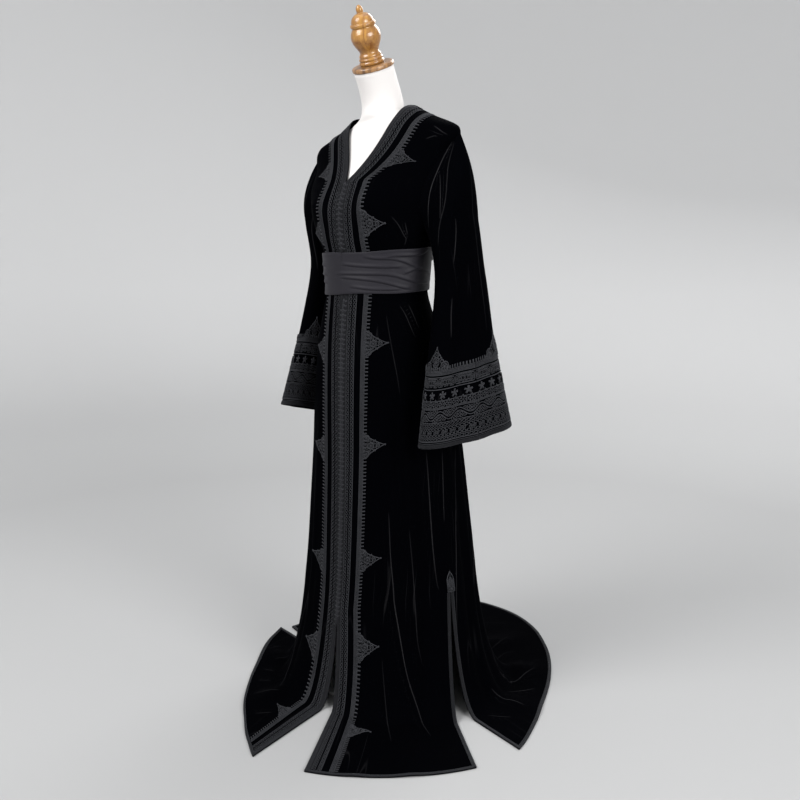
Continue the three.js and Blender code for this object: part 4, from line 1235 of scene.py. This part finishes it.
for side in ("left", "right"):
    cloth = cloths[f"front_{side}"]
    bound = [hem_strip(cloth), slit_strip(cloth, True)]
    braid_piece(f"binding_front_{side}", bound, f"hem_binding_front_{side}")
    cuff = cloths[f"sleeve_{side}"]
    runs, columns = steps_to(cuff.girth)[:-1], cuff.grid.shape[1]
    place = up_from(cuff, lambda run, girth=cuff.girth, count=columns: run / girth * count % count, EDGE_BRAID)
    points, faces = ringed(strip_lines(cuff, place, runs).transpose(1, 0, 2))
    piece = mesh_object(f"binding_cuff_{side}", points, faces, braid, strip_uv(runs, EDGE_BRAID))
    finished(piece, "braid", f"cuff_binding_{side}")
back = cloths["back"]
bound = [hem_strip(back), slit_strip(back, False), slit_strip(back, True)]
braid_piece("binding_back", bound, "hem_binding_back")

# %% [markdown]
# ## Stitches
#
# The embroidery is couched cord: a thin cord is bent into loops, scrolls and teeth and sewn down. Every motif is
# drawn once, flat, as a few lines in millimetres, and turned into a small mesh. A Geometry Nodes tree then repeats
# it on points, each with its own turn and size, and the flat result is laid on the cloth afterwards.

# %% Flat stitches
def arc(centre, radius, start, end, steps):
    t = np.radians(np.linspace(start, end, steps + 1))
    return np.stack([centre[0] + radius * np.cos(t), centre[1] + radius * np.sin(t)], -1)


def spiral(centre, inner, outer, start, turn, steps):
    t = np.linspace(0, 1, steps + 1)
    r, a = inner + (outer - inner) * t, np.radians(start + turn * t)
    return np.stack([centre[0] + r * np.cos(a), centre[1] + r * np.sin(a)], -1)


def cord_tube(line, radius, height=None):
    """A four-sided tube along a flat line, lying on the cloth."""
    line = np.asarray(line, float)
    way = unit(np.gradient(line, axis=0))
    side = np.stack([-way[:, 1], way[:, 0]], -1) * radius
    high = radius * 1.5 if height is None else height
    flat = np.zeros(len(line))
    top = np.column_stack([line, flat + high])
    foot = np.column_stack([line, flat - 0.1])
    left = np.column_stack([line + side, flat + high * 0.45])
    far = np.column_stack([line - side, flat + high * 0.45])
    return tubed(np.array([top, left, foot, far]))


def button(centre, radius, high, sides=8):
    """A small domed knot."""
    bend = np.radians([0, 35, 65, 88])
    r, h = radius * np.sin(bend) + 0.02, high * np.cos(bend)
    lines = []
    for a in np.radians(np.arange(sides) / sides * 360):
        lines.append(np.stack([centre[0] + r * np.cos(a), centre[1] + r * np.sin(a), h], -1))
    return tubed(np.array(lines))


def stitch_object(name, parts):
    points, faces = joined(parts)
    made = mesh_object(name, points / MM, faces)
    made.hide_render = made.hide_viewport = True
    return made

# %% The tree that repeats a stitch
def repeat_tree():
    tree = bpy.data.node_groups.new("repeat a stitch", "GeometryNodeTree")
    face = tree.interface
    face.new_socket("Geometry", in_out="INPUT", socket_type="NodeSocketGeometry")
    for title, kind in (("Stitch", "Object"), ("Size", "Float"), ("Thread", "Material")):
        face.new_socket(title, in_out="INPUT", socket_type=f"NodeSocket{kind}")
    face.new_socket("Geometry", in_out="OUTPUT", socket_type="NodeSocketGeometry")
    kinds = {
        "start": "NodeGroupInput", "stitch": "GeometryNodeObjectInfo", "turn": "GeometryNodeInputNamedAttribute",
        "scale": "GeometryNodeInputNamedAttribute", "angles": "ShaderNodeCombineXYZ", "sized": "ShaderNodeMath",
        "copies": "GeometryNodeInstanceOnPoints", "real": "GeometryNodeRealizeInstances",
        "finish": "GeometryNodeSetMaterial", "end": "NodeGroupOutput",
    }
    nodes = {key: tree.nodes.new(kind) for key, kind in kinds.items()}
    for key, attribute in (("turn", "turn"), ("scale", "size")):
        nodes[key].data_type = "FLOAT"
        nodes[key].inputs["Name"].default_value = attribute
    nodes["sized"].operation = "MULTIPLY"
    wires = [
        ("start", "Stitch", "stitch", "Object"), ("turn", "Attribute", "angles", "Z"),
        ("scale", "Attribute", "sized", 0), ("start", "Size", "sized", 1), ("start", "Geometry", "copies", "Points"),
        ("stitch", "Geometry", "copies", "Instance"), ("angles", "Vector", "copies", "Rotation"),
        ("sized", "Value", "copies", "Scale"), ("copies", "Instances", "real", "Geometry"),
        ("real", "Geometry", "finish", "Geometry"), ("start", "Thread", "finish", "Material"),
        ("finish", "Geometry", "end", "Geometry"),
    ]
    for a, out, b, into in wires:
        tree.links.new(nodes[a].outputs[out], nodes[b].inputs[into])
    return tree


repeat_a_stitch = repeat_tree()
socket_of = {s.name: s.identifier for s in repeat_a_stitch.interface.items_tree if s.in_out == "INPUT"}


def repeated(stitch, places, size=1.0):
    """Flat points and faces of a stitch repeated at places of (along, out, turn, size)."""
    places = np.array(places, float)
    mesh = bpy.data.meshes.new("places")
    mesh.from_pydata(np.column_stack([places[:, :2], 0 * places[:, 0]]).tolist(), [], [])
    for key, column in (("turn", 2), ("size", 3)):
        mesh.attributes.new(key, "FLOAT", "POINT").data.foreach_set("value", places[:, column])
    holder = bpy.data.objects.new("places", mesh)
    bpy.context.scene.collection.objects.link(holder)
    modifier = holder.modifiers.new("repeat", "NODES")
    modifier.node_group = repeat_a_stitch
    modifier[socket_of["Stitch"]] = stitch
    modifier[socket_of["Size"]] = size
    modifier[socket_of["Thread"]] = thread
    made = bpy.data.meshes.new_from_object(holder.evaluated_get(bpy.context.evaluated_depsgraph_get()))
    points = np.zeros(len(made.vertices) * 3)
    made.vertices.foreach_get("co", points)
    faces = [list(p.vertices) for p in made.polygons]
    holder.modifiers.remove(modifier)
    for block, store in ((holder, bpy.data.objects), (mesh, bpy.data.meshes), (made, bpy.data.meshes)):
        store.remove(block)
    return points.reshape(-1, 3), faces

# %% The motifs, each drawn once
CORD, FINE_CORD = 0.95, 0.9
PANEL_RIM = [
    (-20, -9), (20, -9), (21.5, -6), (21.5, 6), (20, 9), (8, 10.6), (-8, 10.6), (-20, 9), (-21.5, 6), (-21.5, -6),
    (-20, -9),
]
PANEL_LOOPS = [
    (0, 0.6), (-2.6, 7.4), (2.6, 7.4), (-3, -6.2), (3, -6.2), (-18.4, 2), (18.4, 2), (-18.4, -2.4), (18.4, -2.4),
    (-13, 7.2), (13, 7.2), (-12, -7), (12, -7), (-7.6, 7.6), (7.6, 7.6),
]


def petal(turn):
    centre = [4.2 * f(math.radians(turn)) for f in (math.cos, math.sin)]
    return cord_tube(arc(centre, 2.3, turn - 150, turn + 150, 6), FINE_CORD)


def ray(turn):
    a = math.radians(turn)
    return cord_tube([(r * math.cos(a), r * math.sin(a)) for r in (0, 4.4, 9.2)], 2.5, 2.4)


def wave_stitch():
    """A double cord in one full wave, with open loops above and below it."""
    def height(x):
        return 6.5 * math.sin(x / 46.7 * 2 * math.pi)

    parts = [cord_tube([(x, height(x) + k) for x in np.linspace(-23.4, 23.4, 19)], 1.0) for k in (-3, 3)]
    spots = [(x, height(x) + side * (7.6 + 6.6 * k))
             for x in np.linspace(-20, 20, 7) for side in (-1, 1) for k in range(3)]
    return parts + [cord_tube(arc((x, y), 2.7, 40 * x, 40 * x + 325, 8), CORD) for x, y in spots if abs(y) < 12.6]


def panel_stitch():
    """A rim round two spirals, two bent bars and small loops."""
    parts = [cord_tube(PANEL_RIM, 1.1)]
    parts += [cord_tube(spiral((x, 0), 1.2, 6, start, 620, 20), CORD) for x, start in ((-10, 0), (10, 180))]
    parts += [cord_tube([(-17, y), (0, middle), (17, y)], FINE_CORD) for y, middle in ((-5.8, -3), (5.8, 4.4))]
    return parts + [cord_tube(arc(spot, 1.9, 30, 350, 7), FINE_CORD) for spot in PANEL_LOOPS]


stitches = {
    "loop": [cord_tube(arc((0, 0), 3.3, 0, 330, 8), CORD)],
    "tooth": [cord_tube([(0, -1), (0, 9)], 1.75, 2.6)],
    "scroll": [
        cord_tube(spiral((-4.6, 1.4), 1.6, 5.2, 200, 500, 18), CORD), button((-4.6, 1.4), 1.3, 1.7, 6),
        cord_tube(spiral((4.6, -1.4), 1.6, 5.2, 20, 500, 18), CORD), button((4.6, -1.4), 1.3, 1.7, 6),
    ],
    "flower": [*map(petal, range(0, 360, 72)), button((0, 0), 1.8, 2.2, 6)],
    "star": [*map(ray, range(90, 450, 72)), button((0, 0), 3, 2.9, 6)],
    "wave": wave_stitch(),
    "panel": panel_stitch(),
}
stitches = {name: stitch_object(f"stitch_{name}", parts) for name, parts in stitches.items()}
print({name: len(s.data.polygons) for name, s in stitches.items()})

# %% Rows and pointed motifs
def row(stitch, start, end, out, pitch, size=1.0, turn=0.0):
    """A stitch repeated along a straight line, at about the given pitch."""
    count = max(int(round((end - start) / pitch)), 1)
    step = (end - start) / count
    return repeated(stitches[stitch], [(start + (k + 0.5) * step, out, turn, size) for k in range(count)])


def straight(start, end, out, radius):
    line = start + steps_to(end - start, 5)
    return cord_tube(np.column_stack([line, np.full(len(line), out)]), radius)


def pointed(centre, foot, wide, high, size=1.0):
    """A triangle with hollow sides, filled with loops round three flowers and a ring, with knobs on its corners."""
    def half(y):
        return wide / 2 * (1 - y / high) ** 1.25

    ring = 0.115 * wide
    eyes = [(-0.29 * wide, 0.2 * high, 1), (0.29 * wide, 0.2 * high, 1), (0, 0.4 * high, 0.95), (0, 0.7 * high, 0.5)]

    def clear(x, y):
        return all(math.hypot(x - eye_x, y - eye_y) > ring * part for eye_x, eye_y, part in eyes)

    loops = []
    for k, y in enumerate(np.arange(4, high - 9, 7.2 * size)):
        count = max(int(round(2 * (half(y) - 2) / (7.4 * size))), 1)
        across = np.linspace(-half(y) + 4, half(y) - 4, count) if count > 1 else [0.0]
        loops += [(centre + x, foot + y, 1.1 * k + 0.8 * i, size) for i, x in enumerate(across) if clear(x, y)]
    parts = [repeated(stitches["loop"], loops)]
    for x, y, part in eyes:
        circle = arc((centre + x, foot + y), ring * part, 0, 345, 14)
        parts += [cord_tube(circle, 1.3, 2.6), button((centre + x, foot + y), 0.35 * ring * part, 2.8, 8)]
    flowers = [(centre + x, foot + y, 0.3, ring * part / 9) for x, y, part in eyes[:3]]
    parts.append(repeated(stitches["flower"], flowers))
    for side in (-1, 1):
        edge = [(centre + side * half(y), foot + y) for y in np.linspace(0, high * 0.97, 14)]
        parts.append(cord_tube(edge, 1.2, 2.2))
        knobs = [(half(0) + 0.5, 1.5), (half(0.3 * high) + 1.2, 0.3 * high), (half(0.58 * high) + 1.2, 0.58 * high)]
        parts += [button((centre + side * x, foot + y), 2.1, 2.4, 6) for x, y in knobs]
    parts.append(button((centre, foot + high), 2.5, 2.8, 8))
    return parts


def embroidered(name, flat, lay):
    """Lays flat embroidery on the cloth and makes the piece."""
    points, faces = joined(flat)
    return finished(mesh_object(name, lay(points), faces, thread), "braid")

# %% [markdown]
# ## Embroidery of the fronts
#
# Beside the braid runs a strip of lace between two cords, then plain velvet, then a toothed line whose teeth
# point away from the opening. Every 17 to 28 centimetres a pointed motif grows out of that line.

# %% The fronts
LACE_IN, LACE_OUT, COMB_IN, COMB_OUT = 14, 35, 54, 63
CORDS = (LACE_IN, LACE_OUT, COMB_IN, COMB_IN + 3, COMB_IN + 6, COMB_OUT)
LOOP_PITCH, THREAD_LIFT = 8.6, 0.2
MOTIFS = [176, 343, 621, 863, 1143, 1343, 1550]
MOTIF = (66, 56)


def lace(start, end):
    """Two staggered rows of loops, with small knots on the one and the other in turn."""
    rows, half = (LACE_IN + 5.2, LACE_OUT - 5.2), LOOP_PITCH / 2
    parts = [row("loop", start, end, rows[0], LOOP_PITCH)]
    parts.append(row("loop", start + half, end + half, rows[1], LOOP_PITCH, 1.0, math.pi))
    knots = enumerate(np.arange(start + half, end, LOOP_PITCH))
    return parts + [button((x, rows[k % 2]), 1.1, 2, 6) for k, x in knots]


def border(starts, end, radii):
    """The cords, lace and teeth that run beside a braid, each from its own start."""
    cords = [straight(starts[0], end, out, radius) for out, radius in zip(CORDS, radii)]
    return [*cords, *lace(starts[1], end), row("tooth", starts[2], end, COMB_OUT, LOOP_PITCH)]


def front_embroidery(side):
    """The border and pointed motifs of a front, laid down its edge."""
    cloth = cloths[f"front_{side}"]
    flat = border((2, 4, 3), cloth.down[-1, 0] - EDGE_BRAID - 2, (1.0, 1.0, 1.3, 1.3, 1.3, 1.3))
    for at in MOTIFS:
        flat += pointed(at, COMB_OUT - 3, *MOTIF)

    def lay(flat):
        return cloth.at(cloth.row_down(flat[:, 0]), flat[:, 1] / STEP, flat[:, 2] + THREAD_LIFT)

    return embroidered(f"embroidery_front_{side}", flat, lay)


for side in ("left", "right"):
    front_embroidery(side)

# %% [markdown]
# ## Embroidery of the cuffs
#
# The cuff is worked in rings, from the binding up: scrolls between loops, waves, small flowers, stars on plain
# velvet, a row of panels, and the same toothed line and pointed motifs as on the fronts.

# %% The cuffs
CUFF_REACH = 260
CUFF_TIPS = {"left": 0.19, "right": 0.331}
CUFF_CORDS = [
    (11, 0.7), (15, 1.1), (56, 1.0), (86, 1.1), (88.5, 1.0), (104, 1.0), (129, 1.2), (155.5, 1.0), (161, 1.3),
    (164, 1.2), (167, 1.2), (170, 1.2),
]
CUFF_ROWS = [  # the stitch, its height above the edge, how many go round, their size and turn, and where they start
    ("loop", 19.6, 67, 1, 0, 0), ("loop", 27.6, 67, 1, 2, 4.2), ("loop", 42, 67, 1, 4, 0),
    ("loop", 50.4, 67, 1, 6, 4.2), ("scroll", 35, 29, 0.75, 0, 0), ("wave", 71, 12, 1, 0, 0),
    ("flower", 96.5, 32, 1.25, 0, 0), ("star", 116, 18, 0.95, 0, 0), ("panel", 143, 12, 1, 0, 0),
    ("tooth", 170, 76, 1, 0, 0),
]
BEADS = 32


def cuff_lay(cloth):
    """Lays flat points on a sleeve: x runs round the cuff, y up from its edge."""
    columns = cloth.grid.shape[1]
    heights = np.array([cloth.row_up(np.arange(CUFF_REACH), k) for k in range(columns)])

    def lay(flat):
        j = flat[:, 0] / cloth.girth * columns
        first, part = np.floor(j).astype(int) % columns, j - np.floor(j)
        y = np.clip(flat[:, 1], 0, CUFF_REACH - 2)
        low, over = np.floor(y).astype(int), y - np.floor(y)
        both = [heights[k, low] * (1 - over) + heights[k, low + 1] * over for k in (first, (first + 1) % columns)]
        return cloth.at(both[0] * (1 - part) + both[1] * part, j, flat[:, 2] + THREAD_LIFT)

    return lay


def cuff_embroidery(side):
    """All rings of a cuff, with three pointed motifs above them."""
    cloth = cloths[f"sleeve_{side}"]
    g = cloth.girth
    flat = [straight(0, g, out, radius) for out, radius in CUFF_CORDS]
    for stitch, out, count, size, turn, start in CUFF_ROWS:
        flat.append(row(stitch, start, g + start, out, g / count, size, turn))
    flat += [button(((k + 0.5) * g / BEADS, 106), 2, 2.4, 6) for k in range(BEADS)]
    for k in range(3):
        flat += pointed((CUFF_TIPS[side] + k / 3) % 1 * g, 168, 98, 54, 1.35)
    return embroidered(f"embroidery_cuff_{side}", flat, cuff_lay(cloth))


for side in ("left", "right"):
    cuff_embroidery(side)

# %% [markdown]
# ## Knot buttons
#
# Each button is a ball of knotted cord on one front, held by a loop from the other. The pair is drawn once and
# repeated down the closed part of the opening.

# %% The knot rows
KNOTS = {"bodice": (1221, 1072), "skirt": (964, 206)}  # the heights that each row runs between
KNOT_PITCH = 11
KNOT_CORDS = [
    ([(-0.9, -9.6), (-1.6, -4), (-0.6, 0)], 0.95), ([(1.1, 9.6), (1.7, 4), (0.6, 0)], 0.95),
    ([(-2.2, -9.8), (-3.4, -5), (-2.4, 0)], 0.8), ([(2.4, 9.8), (3.3, 5), (2.2, 0)], 0.8),
]


def knot_row(part, top, bottom):
    """A row of knots with their loops, half on one front and half on the other."""
    left, right = cloths["front_left"], cloths["front_right"]
    start, end = np.interp([-top, -bottom], -left.grid[:, 0, 2], left.down[:, 0])
    count = int(round((end - start) / KNOT_PITCH))
    knot = [button((0, 0), 3.3, 4.8, 10)] + [cord_tube(line, radius) for line, radius in KNOT_CORDS]
    places = [(start + (k + 0.5) * (end - start) / count, 0, 0, 1) for k in range(count)]
    spine = cord_tube(np.column_stack([np.linspace(start, end, count * 2), np.zeros(count * 2)]), 1.5)
    points, faces = joined([repeated(stitch_object(f"stitch_knots_{part}", knot), places), spine])
    x, out, lift = points.T
    lift = lift + BRAID_LIFT + BRAID_THICK * 0.72
    ours, theirs = (cloth.at(cloth.row_down(x), np.maximum(sign * out, 0) / STEP, lift)
                    for cloth, sign in ((left, 1), (right, -1)))
    piece = mesh_object(f"knots_{part}", np.where((out < 0)[:, None], theirs, ours), faces, thread)
    return finished(piece, "braid", f"button_row_{part}")


for part, heights in KNOTS.items():
    knot_row(part, *heights)

# %% [markdown]
# ## Back neck and slit tabs
#
# The same braid, lace and toothed line run on round the back of the neck, with one pointed motif in the middle. A
# small stitched tab covers the top of each slit.

# %% Back neck
def back_neck():
    """The braid and the embroidery round the back of the neck, from one shoulder seam to the other."""
    cloth = cloths["back"]
    top = cloth.grid[0, :, 0]
    ends = gown(NECK_Z, np.array([270.0, 90.0]))[:, 0]
    inside = np.flatnonzero((top > ends[0] - 0.3) & (top < ends[1] + 0.3))
    start, end = cloth.across[0, inside[[0, -1]]]
    length = end - start

    def place(run, share):
        j = cloth.column_across(start + run, 0)
        return np.array([cloth.row_down(share * FRONT_BRAID, k) for k in np.round(j).astype(int)]), j

    def lay(flat):
        j = cloth.column_across(start + flat[:, 0], 0)
        near = np.round(j).astype(int)
        i = np.array([cloth.row_down(down, k) for down, k in zip(flat[:, 1], near)])
        return cloth.at(i, j, flat[:, 2] + THREAD_LIFT)

    braid_piece("braid_neck_back", [strip(cloth, place, steps_to(length), FRONT_BRAID)], "neck_braid_back")
    flat = border((0, 0, 0), length, (1.0, 1.0, 1.3, 1.1, 1.1, 1.2))
    flat += pointed(length / 2, COMB_OUT - 3, *MOTIF)
    embroidered("embroidery_neck_back", flat, lay)


back_neck()

# %% Slit tabs
TAB_RADIUS = 228  # of the skirt where a tab lies, which turns its width into an angle


def slit_tab(side):
    """A small stitched tab over the top of a slit, with one knot."""
    on_right = side == "right"
    middle = 360 - side_seam(DROP_SIDE, True) if on_right else side_seam(DROP_SIDE, False)
    rim = [(-11, -14), (11, -14), (11, 14), (7, 24), (0, 34), (-7, 24), (-11, 14), (-11, -14)]
    flat = [cord_tube(rim, 1.6, 3.2), cord_tube([(0, -14), (0, 30)], 1.4, 3.0), button((0, -8), 4, 5.2, 10)]
    flat += [cord_tube([(x, -13), (x, 14 + 8 * (1 - abs(x) / 8))], 1.5, 2.6) for x in (-8.4, -5.6, -2.8, 2.8, 5.6, 8.4)]
    flat += [repeated(stitches["loop"], [(0, 6, 0, 1.1), (0, 17, 0, 0.9)])]
    points, faces = joined(flat)
    lift = points[:, 2] + BRAID_LIFT + BRAID_THICK + 0.5
    z = DROP_SIDE + points[:, 1]
    angle = middle + np.degrees(points[:, 0] / TAB_RADIUS)
    points = gown(z, angle) + gown_normal(z, angle) * lift[:, None]
    finished(mesh_object(f"tab_{side}", points, faces, thread), "braid", f"slit_tab_{side}")


for side in ("left", "right"):
    slit_tab(side)

# %% [markdown]
# ## Studio
#
# A bowl of pale paper curves up behind the form on every side, so that each view has the same plain ground. Large
# soft lights hang above it.

# %% Backdrop and lights
def backdrop():
    """A round floor that turns up into a wall along a rounded curve."""
    flat, wide, high = 3.2, 2.4, 4.6
    around = np.radians(np.arange(0, 360, 5))
    turn = math.pi / 2 * np.linspace(0, 1, 48)[:, None] ** 1.5
    r = np.concatenate([[[0.0]], flat + wide * np.sin(turn) ** (2 / 3)])
    h = np.concatenate([[[0.0]], high * (1 - np.cos(turn) ** (2 / 3))]) - 0.001
    points = np.stack([r * np.cos(around), r * np.sin(around), h + 0 * around], -1) / MM
    f = Finish("studio_paper", Roughness=0.9)
    # painted shade: the paper is darker near the middle, where the lamps fall strongest, and paler further out, so that
    # the ground looks evenly lit; the faint noise is the paper's own tone
    away = f.node("ShaderNodeVectorMath", {"operation": "LENGTH"}, {0: f.coords()}, output=1)
    paper = away * 0.1 + f.noise(f.coords(), 0.6, 1) * 0.02
    f.set("Base Color", f.ramp(paper, (0.22, grey(0.297)), (0.5, grey(0.475))))
    made = mesh_object("backdrop", points.reshape(-1, 3), grid_faces(len(r), len(around), True), f.material)


def lamp(name, place, target, size, power):
    """A round soft light at a place, aimed at a target."""
    light = bpy.data.objects.new(name, bpy.data.lights.new(name, "AREA"))
    light.data.shape, light.data.size, light.data.energy = "DISK", size, power
    way = np.array(target) - np.array(place)
    flat = math.hypot(way[0], way[1])
    light.location = place
    light.rotation_euler = (math.atan2(flat, -way[2]), 0, math.atan2(-way[0], way[1]))
    bpy.context.scene.collection.objects.link(light)


backdrop()
lamp("key", (-1.2, -3.6, 3.6), (0, 0, 0.8), 2.6, 238)
lamp("fill", (3.9, -1.0, 2.2), (0, 0, 0.9), 2.4, 205)
lamp("back", (-0.6, 3.6, 3.4), (0, 0, 0.9), 2.6, 119)
lamp("top", (0, 0, 4.4), (0, 0, 0), 3.4, 35)
world = bpy.data.worlds.new("studio")
bpy.context.scene.world = world
world.use_nodes = True
world.node_tree.nodes["Background"].inputs["Color"].default_value = (0.9, 0.92, 0.95, 1)
world.node_tree.nodes["Background"].inputs["Strength"].default_value = 0.72
print("studio ready")
